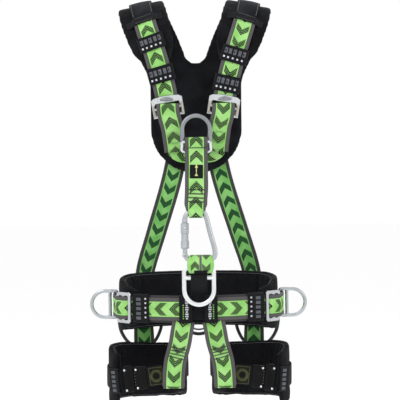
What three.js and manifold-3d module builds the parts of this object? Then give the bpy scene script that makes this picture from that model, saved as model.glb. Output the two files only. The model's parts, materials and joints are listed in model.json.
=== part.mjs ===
// Tree climbing saddle: a full-body work-positioning harness.
// Millimetres, +Z up. The harness faces -Y, and +X is the wearer's left.
// The origin is the centre of the waist opening, at the belt's mid height.

import * as THREE from 'three';
import { mergeVertices } from 'three/addons/utils/BufferGeometryUtils.js';
import Module from 'manifold-3d';

const wasm = await Module();
wasm.setup();

// ---------------------------------------------------------------- driving dimensions

const WEBBING = { width: 45, thickness: 3 };

// Waist: the strap and the pad follow two ellipses, half axes along X and Y.
const WAIST_STRAP = { halfX: 177.5, halfY: 117, firstAngle: 3, lastAngle: 179 };
const WAIST_PAD = { halfX: 160, halfY: 108, thickness: 12, frontHeight: 88, backHeight: 124, endAngle: 50 };

// Yoke: the pad behind the back, with one lobe over each shoulder.
const YOKE = {
  thickness: 11,
  bottomZ: 275,
  roundRadius: 100,
  topHalfWidth: 101,
  neckZ: 521,
  neckRise: 20,
  neckHalfWidth: 38,
  backY: 105,
  crossRadius: 450,
};

// Chest: the sternal ring's crossbar, and the carabiner's plane.
const STERNAL = {
  crossY: -121,
  crossZ: 331,
  bowZ: 355,
  outerRadius: 31.5,
  innerRadius: 23.5,
  thickness: 6,
  barHalf: 3.5,
  slotDepth: 22.5,
  fold: 32,
};
const CARABINER = { planeY: -132, topZ: 196, basketZ: 99.5, barRadius: 5.5, gateX: -24.6, hingeZ: 114 };
const VENTRAL = {
  x: 2,
  planeY: -132,
  crossZ: 63.5,
  topZ: 83,
  bowZ: 40,
  outerRadius: 33.5,
  innerRadius: 24.5,
  thickness: 8,
  barHalf: 4.5,
};

// Legs: each pad and band goes round an upright axis.
const LEG = { axisX: 108, padRadius: 76, padThickness: 10, bandRadius: 84, bandWidth: 40, frontY: -76 };
// The band's front slopes down outwards, through this point.
const SLOPE = { x: 87, z: -138, degrees: 7 };

// ---------------------------------------------------------------- materials

const finish = (color, roughness, metalness) => new THREE.MeshStandardMaterial({ color, roughness, metalness });
const green = () => finish(0x8ccf68, 0.8, 0);
const shadedGreen = () => finish(0x63b257, 0.8, 0);
const black = () => finish(0x17181b, 0.9, 0);
const charcoal = () => finish(0x26272b, 0.85, 0);
const rubber = () => finish(0x303033, 0.6, 0);
const plastic = () => finish(0x111214, 0.45, 0);
const aluminium = () => finish(0xcfd2d4, 0.3, 1);
const steel = () => finish(0xb4b8bb, 0.35, 1);

// ---------------------------------------------------------------- shape helpers

const vector = (point) => new THREE.Vector3(...point);
const radians = (degrees) => THREE.MathUtils.degToRad(degrees);

// Frames along a smooth curve: the point, its tangent, the side and the face normal. With one normal the strap
// faces the same way all along; otherwise there is one for each point.
function framesAlong(points, normals, steps) {
  const curve = new THREE.CatmullRomCurve3(points.map(vector), false, 'centripetal');
  const facings = normals.length > 1 ? normals : points.map(() => normals[0]);
  const facing = new THREE.CatmullRomCurve3(facings.map(vector), false, 'catmullrom', 0.3);
  const frames = [];
  for (let step = 0; step <= steps; step += 1) {
    const t = curve.getUtoTmapping(step / steps);
    const tangent = curve.getTangent(t);
    const side = new THREE.Vector3().crossVectors(facing.getPoint(t), tangent).normalize();
    const normal = new THREE.Vector3().crossVectors(tangent, side);
    frames.push({ point: curve.getPoint(t), tangent, side, normal });
  }
  return frames;
}

// The part of a list of frames whose points pass a test, such as a range of heights.
const framesWhere = (frames, test) => frames.filter((frame) => test(frame.point));

// A function of 0 to 1 that goes straight from one value of a list to the next.
function stepped(values) {
  return (along) => {
    const place = along * (values.length - 1);
    const index = Math.min(Math.floor(place), values.length - 2);
    return THREE.MathUtils.lerp(values[index], values[index + 1], place - index);
  };
}

// A strap: a box bent along frames. `lift` moves it along the face normal and `shift` across.
function ribbon(frames, options = {}) {
  const { width = WEBBING.width, thickness = WEBBING.thickness, lift = 0, shift = 0, columns = 1 } = options;
  const steps = frames.length - 1;
  const widthAt = typeof width === 'function' ? width : () => width;
  const geometry = new THREE.BoxGeometry(1, 1, 1, columns, 1, steps);
  const position = geometry.attributes.position;
  for (let i = 0; i < position.count; i += 1) {
    const along = position.getZ(i) + 0.5;
    const frame = frames[Math.round(along * steps)];
    const point = frame.point.clone();
    point.addScaledVector(frame.side, position.getX(i) * widthAt(along) + shift);
    point.addScaledVector(frame.normal, position.getY(i) * thickness + lift);
    position.setXYZ(i, point.x, point.y, point.z);
  }
  return geometry;
}

function toSolid(geometry) {
  const plain = geometry.clone();
  plain.deleteAttribute('normal');
  plain.deleteAttribute('uv');
  const merged = mergeVertices(plain, 1e-4);
  const vertProperties = new Float32Array(merged.attributes.position.array);
  const triVerts = new Uint32Array(merged.index.array);
  return new wasm.Manifold(new wasm.Mesh({ numProp: 3, vertProperties, triVerts }));
}

function toGeometry(solid) {
  const mesh = solid.getMesh();
  const geometry = new THREE.BufferGeometry();
  geometry.setAttribute('position', new THREE.BufferAttribute(new Float32Array(mesh.vertProperties), 3));
  geometry.setIndex(new THREE.BufferAttribute(new Uint32Array(mesh.triVerts), 1));
  geometry.computeVertexNormals();
  return geometry;
}

const join = (...geometries) => toGeometry(geometries.map(toSolid).reduce((all, next) => all.add(next)));

function cut(body, ...tools) {
  return toGeometry(tools.map(toSolid).reduce((rest, tool) => rest.subtract(tool), toSolid(body)));
}

// An outline extruded with its middle at zero, and an optional bevel inside its outline.
function extrude(shape, depth, bevel = 0, curveSegments = 5) {
  const geometry = new THREE.ExtrudeGeometry(shape, {
    depth: depth - 2 * bevel,
    bevelEnabled: bevel > 0,
    bevelThickness: bevel,
    bevelSize: bevel,
    bevelOffset: -bevel,
    bevelSegments: 1,
    curveSegments,
  });
  return geometry.translate(0, 0, bevel - depth / 2);
}

// An outline in X and Z, extruded along Y, and an outline in Y and Z, extruded along X.
function frontPlate(shape, thickness, bevel, segments) {
  return extrude(shape, thickness, bevel, segments).rotateX(Math.PI / 2);
}

function sidePlate(shape, width, bevel, segments) {
  const turn = new THREE.Matrix4().makeBasis(vector([0, 1, 0]), vector([0, 0, 1]), vector([1, 0, 0]));
  return extrude(shape, width, bevel, segments).applyMatrix4(turn);
}

const block = (x, y, z) => new THREE.BoxGeometry(x, y, z);

// A rod along Z, X or Y.
function rod(radius, length, sides = 16) {
  return new THREE.CylinderGeometry(radius, radius, length, sides).rotateX(Math.PI / 2);
}

const rodX = (radius, length, sides = 16) => rod(radius, length, sides).rotateY(Math.PI / 2);
const rodY = (radius, length, sides = 16) => rod(radius, length, sides).rotateX(Math.PI / 2);

// A stadium, which is a rectangle with two round ends: half width across, and its two end centres.
function stadium(halfWidth, x, lowZ, highZ, Outline = THREE.Shape) {
  const outline = new Outline();
  outline.absarc(x, highZ, halfWidth, 0, Math.PI, false);
  outline.absarc(x, lowZ, halfWidth, Math.PI, 2 * Math.PI, false);
  outline.closePath();
  return outline;
}

// A rectangle with round corners.
function roundedRect(left, bottom, right, top, radius, Outline = THREE.Shape) {
  const outline = new Outline();
  outline.absarc(right - radius, top - radius, radius, 0, Math.PI / 2, false);
  outline.absarc(left + radius, top - radius, radius, Math.PI / 2, Math.PI, false);
  outline.absarc(left + radius, bottom + radius, radius, Math.PI, 1.5 * Math.PI, false);
  outline.absarc(right - radius, bottom + radius, radius, 1.5 * Math.PI, 2 * Math.PI, false);
  outline.closePath();
  return outline;
}

// A round bar bent along a smooth curve.
function bentBar(points, radius, steps, sides = 12) {
  const section = new THREE.Shape();
  section.absarc(0, 0, radius, 0, 2 * Math.PI, false);
  const curve = new THREE.CatmullRomCurve3(points.map(vector), false, 'centripetal');
  const options = { steps, extrudePath: curve, curveSegments: sides / 2, bevelEnabled: false };
  return new THREE.ExtrudeGeometry(section, options);
}

// A band that goes round a strap: an outer ribbon with a passage through it.
function keeper(frames, { width, thickness, wall, room }) {
  const outside = ribbon(frames, { width, thickness });
  const first = frames[0];
  const last = frames[frames.length - 1];
  const before = { ...first, point: first.point.clone().addScaledVector(first.tangent, -1) };
  const after = { ...last, point: last.point.clone().addScaledVector(last.tangent, 1) };
  const middle = frames.slice(1, -1);
  const passage = ribbon([before, ...middle, after], { width: width - 2 * wall, thickness: room });
  return cut(outside, passage);
}

function part(name, geometry, material) {
  const mesh = new THREE.Mesh(geometry, material);
  mesh.name = name;
  return mesh;
}

// ---------------------------------------------------------------- yoke and shoulders

// One lobe's middle line: up the back, over the shoulder and down the chest.
const LOBE_POINTS = [
  [48, 103, 455], [62, 99, 505], [88, 78, 563], [108, 38, 607], [112, 0, 620],
  [109, -38, 607], [98, -74, 568], [82, -94, 518], [74, -98, 492],
];
const LOBE_NORMALS = [
  [0.1, 1, 0.1], [0.15, 1, 0.25], [0.2, 0.8, 0.6], [0.2, 0.4, 0.9], [0.2, 0, 1],
  [0.2, -0.4, 0.9], [0.2, -0.85, 0.45], [0.13, -1, 0.18], [0.1, -1, 0.1],
];
const LOBE_WIDTHS = [92, 94, 96, 98, 99, 99, 99, 99, 99, 100, 99, 95, 88, 56];
const LOBE_STEPS = 26;
const lobeFrames = framesAlong(LOBE_POINTS, LOBE_NORMALS, LOBE_STEPS);
const lobeOutside = YOKE.thickness / 2;

// Towards the neck the back curves forward to meet the lobes.
const LEAN = { startZ: 470, divisor: 380 };

function yokeBack() {
  const geometry = new THREE.BoxGeometry(1, 1, 1, 12, 1, 6);
  const position = geometry.attributes.position;
  for (let i = 0; i < position.count; i += 1) {
    const turn = position.getX(i) * Math.PI;
    const up = position.getZ(i) + 0.5;
    const halfWidth = THREE.MathUtils.lerp(YOKE.roundRadius, YOKE.topHalfWidth, up);
    const x = Math.sin(turn) * halfWidth;
    const bottom = YOKE.bottomZ + YOKE.roundRadius * (1 - Math.cos(turn));
    const neck = YOKE.neckZ + YOKE.neckRise * Math.min(1, (x / YOKE.neckHalfWidth) ** 2);
    const z = THREE.MathUtils.lerp(bottom, neck, up);
    const lean = Math.max(0, z - LEAN.startZ) ** 2 / LEAN.divisor;
    const middle = YOKE.backY - x ** 2 / (2 * YOKE.crossRadius) - lean;
    position.setXYZ(i, x, middle + position.getY(i) * YOKE.thickness, z);
  }
  return geometry;
}

function yokePad() {
  const lobe = ribbon(lobeFrames, { width: stepped(LOBE_WIDTHS), thickness: YOKE.thickness, columns: 4 });
  const left = toSolid(lobe);
  const right = left.mirror([1, 0, 0]);
  return toGeometry(toSolid(yokeBack()).add(left).add(right));
}

const SLEEVE = { width: 57, thickness: 5, gap: 1, frontZ: 581, backZ: 503 };

function shoulderSleeve() {
  const covered = framesWhere(lobeFrames, ({ y, z }) => z > (y < 0 ? SLEEVE.frontZ : SLEEVE.backZ));
  const lift = lobeOutside + SLEEVE.gap + SLEEVE.thickness / 2;
  return ribbon(covered, { width: SLEEVE.width, thickness: SLEEVE.thickness, lift, columns: 2 });
}

// The shoulder strap lies over the front of its lobe, then hangs on to the adjuster.
const ON_LOBE = { frontOfY: -40, lowZ: 495, highZ: 578, lift: 11 };
const STRAP_HANG_POINTS = [[66.5, -110, 460], [60.8, -107.8, 436], [56.5, -105, 412]];
const STRAP_HANG_NORMALS = [[0.08, -1, 0], [0.04, -1, -0.05], [0, -1, -0.08]];

function shoulderStrapFrames() {
  const { frontOfY, lowZ, highZ, lift } = ON_LOBE;
  const onLobe = framesWhere(lobeFrames, ({ y, z }) => y < frontOfY && z > lowZ && z < highZ);
  const raised = onLobe.map(({ point, normal }) => point.clone().addScaledVector(normal, lift).toArray());
  const normals = onLobe.map(({ normal }) => normal.toArray());
  return framesAlong([...raised, ...STRAP_HANG_POINTS], [...normals, ...STRAP_HANG_NORMALS], 16);
}
const strapFrames = shoulderStrapFrames();

const SHOULDER_KEEPER = { length: 33, width: 54, thickness: 8.2, wall: 2.4, room: 6 };

function straightFrames(frame, length) {
  const at = (distance) => ({ ...frame, point: frame.point.clone().addScaledVector(frame.tangent, distance) });
  return [at(-length / 2), at(length / 2)];
}

// The frame of a strap at a height, between the two frames that it lies between.
function frameAtHeight(frames, z) {
  const index = frames.findIndex((frame, i) => i > 0 && (frame.point.z - z) * (frames[i - 1].point.z - z) <= 0);
  const low = frames[index - 1];
  const high = frames[index];
  const part = (z - low.point.z) / (high.point.z - low.point.z);
  const blend = (key) => low[key].clone().lerp(high[key], part);
  return { point: blend('point'), tangent: blend('tangent'), side: blend('side'), normal: blend('normal') };
}

function shoulderKeeper(z) {
  const frames = straightFrames(frameAtHeight(strapFrames, z), SHOULDER_KEEPER.length);
  return keeper(frames, SHOULDER_KEEPER);
}

// Dorsal plate, with a lug that the dorsal ring's bar turns in.
const DORSAL_PLATE = { y: 117.5, halfWidth: 50, lowZ: 425, highZ: 505, thickness: 5, corner: 8 };
const DORSAL_LUG = { radius: 8.2, width: 42, depth: 8, bore: 5.4 };
const DORSAL_RING = { barY: 125.5, barZ: 450, bowZ: 425, outerRadius: 32, innerRadius: 24, thickness: 8 };

function dorsalPlate() {
  const { y, halfWidth, lowZ, highZ, thickness, corner } = DORSAL_PLATE;
  const { radius, width, depth, bore } = DORSAL_LUG;
  const { barY, barZ } = DORSAL_RING;
  const outline = roundedRect(-halfWidth, lowZ, halfWidth, highZ, corner);
  const plate = frontPlate(outline, thickness, 0.8, 2).translate(0, y, 0);
  const lug = rodX(radius, width).translate(0, barY, barZ);
  const foot = block(width, depth, 2 * radius).translate(0, barY - depth / 2, barZ);
  const hole = rodX(bore, width + 18).translate(0, barY, barZ);
  return cut(join(plate, lug, foot), hole);
}

function dorsalRing() {
  const { barY, barZ, bowZ, outerRadius, innerRadius, thickness } = DORSAL_RING;
  const outline = new THREE.Shape();
  outline.absarc(0, bowZ, outerRadius, Math.PI, 2 * Math.PI, false);
  outline.absarc(outerRadius - 4, barZ, 4, 0, Math.PI / 2, false);
  outline.absarc(4 - outerRadius, barZ, 4, Math.PI / 2, Math.PI, false);
  outline.closePath();
  const window = new THREE.Path();
  window.absarc(0, bowZ, innerRadius, Math.PI, 2 * Math.PI, false);
  window.absarc(innerRadius - 4, barZ - 8, 4, 0, Math.PI / 2, false);
  window.absarc(4 - innerRadius, barZ - 8, 4, Math.PI / 2, Math.PI, false);
  window.closePath();
  outline.holes.push(window);
  return frontPlate(outline, thickness, 1.2).translate(0, barY, 0);
}

// The back strap comes down from the dorsal plate, and passes behind the waist pad.
const BACK_STRAP_POINTS = [
  [25, 113.5, 424], [54, 113.5, 271], [90, 108, 150], [116, 97, 62], [119, 93, 22], [119.5, 92.5, -22],
  [120.5, 92, -60],
];
const BACK_STRAP_NORMALS = [
  [0.05, 1, 0], [0.08, 1, 0], [0.3, 0.95, 0], [0.48, 0.88, 0], [0.5, 0.87, 0], [0.5, 0.87, 0], [0.48, 0.88, 0],
];
const backStrap = () => ribbon(framesAlong(BACK_STRAP_POINTS, BACK_STRAP_NORMALS, 26));

// ---------------------------------------------------------------- shoulder adjusters and chest

const ADJUSTER = { x: 55, y: -116, z: 399, lean: 9, halfWidth: 31, armWidth: 7, thickness: 4, frameY: 5 };
const ADJUSTER_BAR = { radius: 2.75, length: 55, pinRadius: 2.5, pinLength: 22, pinZ: -3 };

function placeAdjuster(geometry) {
  return geometry.rotateY(radians(ADJUSTER.lean)).translate(ADJUSTER.x, ADJUSTER.y, ADJUSTER.z);
}

function adjusterFrame() {
  const { halfWidth, armWidth } = ADJUSTER;
  const outline = new THREE.Shape();
  outline.moveTo(-halfWidth, -17);
  outline.lineTo(halfWidth, -17);
  outline.lineTo(halfWidth, 19);
  outline.quadraticCurveTo(halfWidth - 4, 24, 12, 25);
  outline.lineTo(-12, 25);
  outline.quadraticCurveTo(4 - halfWidth, 24, -halfWidth, 19);
  outline.closePath();
  const inside = halfWidth - armWidth;
  outline.holes.push(roundedRect(-inside, -12, inside, 11, 2, THREE.Path));
  return placeAdjuster(frontPlate(outline, ADJUSTER.thickness, 0.8, 2).translate(0, ADJUSTER.frameY, 0));
}

function adjusterBar() {
  const { radius, length, pinRadius, pinLength, pinZ } = ADJUSTER_BAR;
  const bar = rodX(radius, length, 12);
  const pins = [-1, 1].map((side) => rod(pinRadius, pinLength, 12).translate((side * length) / 2, 0, pinZ));
  return placeAdjuster(join(bar, ...pins));
}

// The chest strap is rolled round the adjuster's bar, comes down, and folds in to the breastbone.
const ROLL = { radius: 8.5, barRoom: 3.4, play: 3 };
const CHEST_FALL = [
  [55, -123, 399], [52.6, -120, 386], [48, -112, 364], [44.5, -103, 342], [42, -96, 322], [41.3, -94, 311],
];
const CHEST_TAIL = { points: [[60, -91.5, 311], [2, -91.5, 309]], width: 32, thickness: 3.4 };

function chestStrap() {
  const { radius, barRoom, play } = ROLL;
  const length = WEBBING.width + 5;
  const low = rodX(barRoom, length, 12);
  const high = rodX(barRoom, length, 12).translate(0, 0, play);
  const between = block(length, 2 * barRoom, play).translate(0, 0, play / 2);
  const roll = cut(rodX(radius, WEBBING.width, 20), low, high, between);
  const fall = ribbon(framesAlong(CHEST_FALL, [[0, -1, -0.3]], 14));
  const tail = ribbon(framesAlong(CHEST_TAIL.points, [[0, -1, 0]], 4), CHEST_TAIL);
  return join(placeAdjuster(roll), fall, tail);
}

function sternalRing() {
  const { crossY, crossZ, bowZ, outerRadius, innerRadius, thickness, barHalf, slotDepth, fold } = STERNAL;
  const outline = new THREE.Shape();
  outline.absarc(0, bowZ, outerRadius, 0, Math.PI, false);
  outline.lineTo(-outerRadius, crossZ - barHalf);
  outline.lineTo(outerRadius, crossZ - barHalf);
  outline.closePath();
  const window = new THREE.Path();
  window.absarc(0, bowZ, innerRadius, 0, Math.PI, false);
  window.lineTo(-innerRadius, crossZ + barHalf);
  window.lineTo(innerRadius, crossZ + barHalf);
  window.closePath();
  outline.holes.push(window);
  const bow = frontPlate(outline, thickness, 1).translate(0, crossY, 0);
  const slot = roundedRect(-outerRadius, -slotDepth - barHalf, outerRadius, barHalf, 3);
  slot.holes.push(roundedRect(-innerRadius, barHalf - slotDepth, innerRadius, -barHalf, 2, THREE.Path));
  const lower = frontPlate(slot, thickness, 1, 2).rotateX(radians(fold)).translate(0, crossY, crossZ);
  return join(bow, lower);
}

// The sternal strap is a loop of webbing from the ring's crossbar down to the carabiner.
const LOOP_TOP = { radius: 9, barRoom: 5.4 };
const LOOP_EYE = { x: -2.5, width: 26, lowZ: 191, highZ: 198, room: 6.8, wall: 3 };
const LOOP_THICKNESS = 8;

function sternalStrap() {
  const { crossY, crossZ } = STERNAL;
  const { x, width, lowZ, highZ, room, wall } = LOOP_EYE;
  const { planeY } = CARABINER;
  const top = rodX(LOOP_TOP.radius, WEBBING.width, 20).translate(0, crossY, crossZ);
  const points = [[0, crossY + 1, crossZ - 4], [0, -119.5, 300], [0, -127, 240], [x, -131, 212], [x, -132, 202]];
  const widths = stepped([...Array(6).fill(WEBBING.width), 40, 30, width]);
  const body = ribbon(framesAlong(points, [[0, -1, 0]], 16), { width: widths, thickness: LOOP_THICKNESS });
  const bottom = sidePlate(stadium(room + wall, planeY, lowZ, highZ), width).translate(x, 0, 0);
  const passage = sidePlate(stadium(room, planeY, lowZ, highZ), width + 20).translate(x, 0, 0);
  const bore = rodX(LOOP_TOP.barRoom, WEBBING.width + 10, 20).translate(0, crossY, crossZ);
  return cut(join(top, body, bottom), passage, bore);
}

// ---------------------------------------------------------------- carabiner, link and ventral ring

function carabinerBody() {
  const { planeY, topZ, basketZ, barRadius, gateX } = CARABINER;
  const outline = [
    [gateX, 174], [-23.6, 182], [-17, 192], [-8, topZ], [5, topZ], [13, 192], [17, 184], [25, 152], [34, 116],
    [33.5, 107], [27, basketZ], [5, basketZ], [-12, basketZ], [-19, 101], [-24, 107.5],
  ];
  return bentBar(outline.map(([x, z]) => [x, planeY, z]), barRadius, 36, 10);
}

const GATE = { radius: 4.5, lowZ: 111, highZ: 168 };
const SLEEVE_NUT = { bore: 4.9, radius: 8, lowZ: 121, highZ: 171 };
const LOCK = { z: 162, pinRadius: 2.7, flangeRadius: 3.5, inner: 5.8, flangeEnd: 6.5, outer: 10 };

const onGate = (geometry) => geometry.translate(CARABINER.gateX, CARABINER.planeY, 0);

function carabinerGate() {
  const middle = (GATE.lowZ + GATE.highZ) / 2;
  return onGate(rod(GATE.radius, GATE.highZ - GATE.lowZ, 20).translate(0, 0, middle));
}

function carabinerSleeve() {
  const { bore, radius, lowZ, highZ } = SLEEVE_NUT;
  const profile = [
    [bore, lowZ], [radius - 1, lowZ], [radius, lowZ + 1.5], [radius, 136], [radius - 1, 137], [radius - 1, 150],
    [radius, 151], [radius, highZ - 1.5], [radius - 1, highZ], [bore, highZ], [bore, lowZ],
  ];
  const ring = new THREE.LatheGeometry(profile.map(([r, z]) => new THREE.Vector2(r, z)), 20).rotateX(Math.PI / 2);
  const hole = rodY(LOCK.pinRadius + 0.4, 20).translate(0, -10, LOCK.z);
  const seat = rodY(LOCK.flangeRadius + 0.4, 4.5).translate(0, -4.6, LOCK.z);
  return onGate(cut(ring, hole, seat));
}

function carabinerLockBall() {
  const { pinRadius, flangeRadius, inner, flangeEnd, outer } = LOCK;
  const dome = Array.from({ length: 5 }, (_, i) => {
    const angle = (i / 4) * (Math.PI / 2);
    return [pinRadius * Math.cos(angle), outer - pinRadius + pinRadius * Math.sin(angle)];
  });
  const profile = [[0, inner], [flangeRadius, inner], [flangeRadius, flangeEnd], [pinRadius, flangeEnd], ...dome];
  const points = profile.map(([r, distance]) => new THREE.Vector2(Math.max(r, 0), distance));
  points[points.length - 1].x = 0;
  return onGate(new THREE.LatheGeometry(points, 16).rotateX(Math.PI).translate(0, 0, LOCK.z));
}

const LINK = { width: 40, x: 5.5, halfDepth: 7.5, wall: 3, lowZ: 75.3, highZ: 105.5 };

function ventralLink() {
  const { planeY } = CARABINER;
  const { width, x, halfDepth, wall, lowZ, highZ } = LINK;
  const outside = roundedRect(planeY - halfDepth - wall, lowZ - wall, planeY + halfDepth + wall, highZ + wall, 9);
  outside.holes.push(roundedRect(planeY - halfDepth, lowZ, planeY + halfDepth, highZ, 6, THREE.Path));
  return sidePlate(outside, width, 0, 3).translate(x, 0, 0);
}

function ventralRing() {
  const { x, planeY, crossZ, topZ, bowZ, outerRadius, innerRadius, thickness, barHalf } = VENTRAL;
  const outline = new THREE.Shape();
  outline.absarc(0, bowZ, outerRadius, Math.PI, 2 * Math.PI, false);
  outline.absarc(outerRadius - 9, topZ + barHalf - 9, 9, 0, Math.PI / 2, false);
  outline.absarc(9 - outerRadius, topZ + barHalf - 9, 9, Math.PI / 2, Math.PI, false);
  outline.closePath();
  const window = new THREE.Path();
  window.absarc(0, bowZ, innerRadius, Math.PI, 2 * Math.PI, false);
  window.lineTo(innerRadius, crossZ - barHalf);
  window.lineTo(-innerRadius, crossZ - barHalf);
  window.closePath();
  outline.holes.push(window);
  outline.holes.push(roundedRect(-innerRadius, crossZ + barHalf, innerRadius, topZ - barHalf, 3, THREE.Path));
  return frontPlate(outline, thickness, 1.5).translate(x, planeY, 0);
}

// The bridge strap holds the ventral ring's crossbar, and is sewn behind the meeting belts.
const BRIDGE = { width: 32, loopRadius: 8.2, bore: 5.7 };

function bridgeStrap() {
  const { x, planeY, crossZ } = VENTRAL;
  const { width, loopRadius, bore } = BRIDGE;
  const line = [[planeY + 4, crossZ - 4], [-121, 44], [-111.5, 31], [-109, 22], [-108.5, 0], [-108.5, -22]];
  const fall = ribbon(framesAlong(line.map(([y, z]) => [x, y, z]), [[0, -1, -0.3]], 16), { width });
  const loop = rodX(loopRadius, width, 20).translate(x, planeY, crossZ);
  const hole = rodX(bore, width + 10, 20).translate(x, planeY, crossZ);
  return cut(join(loop, fall), hole);
}

// ---------------------------------------------------------------- waist belt

// Frames round an ellipse: the angle is 0 at the front and 90 at the wearer's left.
function ellipseFrames({ halfX, halfY }, firstAngle, lastAngle, steps, z = 0) {
  const frames = [];
  for (let step = 0; step <= steps; step += 1) {
    const angle = radians(THREE.MathUtils.lerp(firstAngle, lastAngle, step / steps));
    const point = vector([halfX * Math.sin(angle), -halfY * Math.cos(angle), z]);
    const tangent = vector([halfX * Math.cos(angle), halfY * Math.sin(angle), 0]).normalize();
    const side = vector([0, 0, 1]);
    frames.push({ point, tangent, side, normal: new THREE.Vector3().crossVectors(tangent, side) });
  }
  return frames;
}

function waistPad() {
  const { thickness, frontHeight, backHeight, endAngle } = WAIST_PAD;
  const sides = [frontHeight - 18, frontHeight, frontHeight + 18, backHeight - 10, backHeight - 4, backHeight];
  const heights = stepped([...sides, ...Array(8).fill(backHeight), ...[...sides].reverse()]);
  const frames = ellipseFrames(WAIST_PAD, endAngle, 360 - endAngle, 36);
  return ribbon(frames, { width: heights, thickness });
}

const waistStrap = () => ribbon(ellipseFrames(WAIST_STRAP, WAIST_STRAP.firstAngle, WAIST_STRAP.lastAngle, 36));

// The belt's keepers: their first and last angles round the waist, and their height.
const FRONT_KEEPER = { first: 4, last: 12, height: 54 };
const SIDE_KEEPER = { first: 33.5, last: 47, height: 58 };
const BELT_PASSAGE = { height: 47, room: 4.2 };

function beltKeeper({ first, last, height }) {
  const wall = (height - BELT_PASSAGE.height) / 2;
  const frames = ellipseFrames(WAIST_STRAP, first, last, 3);
  return keeper(frames, { width: height, thickness: 8, wall, room: BELT_PASSAGE.room });
}

// The waist buckle is a steel ladder frame on the belt's outside, near each hip.
const WAIST_BUCKLE = { angle: 56, lift: 5.8, halfHeight: 31, halfLength: 21, thickness: 4, rim: 7, barHalf: 3 };

function waistBuckle() {
  const { angle, lift, halfHeight, halfLength, thickness, rim, barHalf } = WAIST_BUCKLE;
  const outline = roundedRect(-halfLength, -halfHeight, halfLength, halfHeight, 7);
  outline.holes.push(roundedRect(rim - halfLength, rim - halfHeight, -barHalf, halfHeight - rim, 3, THREE.Path));
  outline.holes.push(roundedRect(barHalf, rim - halfHeight, halfLength - rim, halfHeight - rim, 3, THREE.Path));
  const [frame] = ellipseFrames(WAIST_STRAP, angle, angle + 1, 1);
  const turn = new THREE.Matrix4().makeBasis(frame.tangent, frame.side, frame.tangent.clone().cross(frame.side));
  const place = frame.point.clone().addScaledVector(frame.normal, lift);
  return extrude(outline, thickness, 0.8, 2).applyMatrix4(turn.setPosition(place));
}

const HIP_RING = {
  endBarX: 169.5,
  midBarX: 185.5,
  bowX: 196.5,
  outerRadius: 31.5,
  innerRadius: 23.5,
  slotHalf: 23.8,
  barHalf: 3.5,
  thickness: 7,
};

function hipRing() {
  const { endBarX, midBarX, bowX, outerRadius, innerRadius, slotHalf, barHalf, thickness } = HIP_RING;
  const outline = new THREE.Shape();
  outline.absarc(bowX, 0, outerRadius, -Math.PI / 2, Math.PI / 2, false);
  outline.absarc(endBarX + 2, outerRadius - 5, 5, Math.PI / 2, Math.PI, false);
  outline.absarc(endBarX + 2, 5 - outerRadius, 5, Math.PI, 1.5 * Math.PI, false);
  outline.closePath();
  const window = new THREE.Path();
  window.absarc(bowX, 0, innerRadius, -Math.PI / 2, Math.PI / 2, false);
  window.lineTo(midBarX + barHalf, innerRadius);
  window.lineTo(midBarX + barHalf, -innerRadius);
  window.closePath();
  outline.holes.push(window);
  outline.holes.push(roundedRect(endBarX + 3, -slotHalf, midBarX - barHalf, slotHalf, 2, THREE.Path));
  return frontPlate(outline, thickness, 1, 5);
}

const GEAR_LOOP_RADIUS = 4;
const SIDE_GEAR_LOOP = [
  [169, 36, -24], [170, 39, -40], [167, 60, -68], [150, 101, -100], [126, 119, -112], [102, 118, -100],
  [86, 112, -72], [81, 106, -42], [80, 105, -24],
];
const REAR_GEAR_LOOP = [
  [-50, 114.5, -24], [-49, 115.5, -42], [-32, 120, -70], [0, 122, -82], [32, 120, -70], [49, 115.5, -42],
  [50, 114.5, -24],
];
const gearLoop = (points) => bentBar(points, GEAR_LOOP_RADIUS, 26, 8);

// ---------------------------------------------------------------- legs

// Points round a leg: the angle is 0 at the front and 90 on the outer side.
function legPoint(radius, degrees, z) {
  const angle = radians(degrees);
  return [LEG.axisX + radius * Math.sin(angle), -radius * Math.cos(angle), z];
}

function legNormal(degrees) {
  const angle = radians(degrees);
  return [Math.sin(angle), -Math.cos(angle), 0];
}

// Evenly spaced angles from the first to the last.
function angleRange(first, last, steps) {
  return Array.from({ length: steps + 1 }, (_, i) => first + ((last - first) * i) / steps);
}

// The pad goes from the leg's outer side round its back to the inner side.
const LEG_PAD = {
  angles: angleRange(48, 312, 14),
  middles: [-149, -147, -147, -149, -151, -149, -144, -137, -137],
  heights: [102, 124, 125, 122, 121, 118, 110, 98, 78],
};

function legPad() {
  const { angles, middles, heights } = LEG_PAD;
  const middleZ = stepped(middles);
  const points = angles.map((angle, i) => legPoint(LEG.padRadius, angle, middleZ(i / (angles.length - 1))));
  const frames = framesAlong(points, angles.map(legNormal), 28);
  return ribbon(frames, { width: stepped(heights), thickness: LEG.padThickness });
}

// The height of the band's middle line in front, at a distance out from the saddle's middle.
const slopeZ = (x) => SLOPE.z - (x - SLOPE.x) * Math.tan(radians(SLOPE.degrees));
const onSlope = (geometry) => geometry.rotateY(radians(SLOPE.degrees)).translate(SLOPE.x, LEG.frontY, SLOPE.z);

// The band comes out of the quick buckle, goes round the leg, and ends behind the riser.
const BAND_OUTER = [[154.3, LEG.frontY], [164, LEG.frontY], [173.5, -68], [177, -50]];
const BAND_OUTER_NORMALS = [[0, -1, 0], [0, -1, 0], [0.75, -0.65, 0], [0.9, -0.4, 0]];
const BAND_INNER = [[29, -55], [38, -72], [46, LEG.frontY], [52, LEG.frontY]];
const BAND_INNER_NORMALS = [[-0.9, -0.4, 0], [-0.6, -0.8, 0], [0, -1, 0], [0, -1, 0]];
const BAND_ANGLES = angleRange(70, 285, 11);

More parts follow.
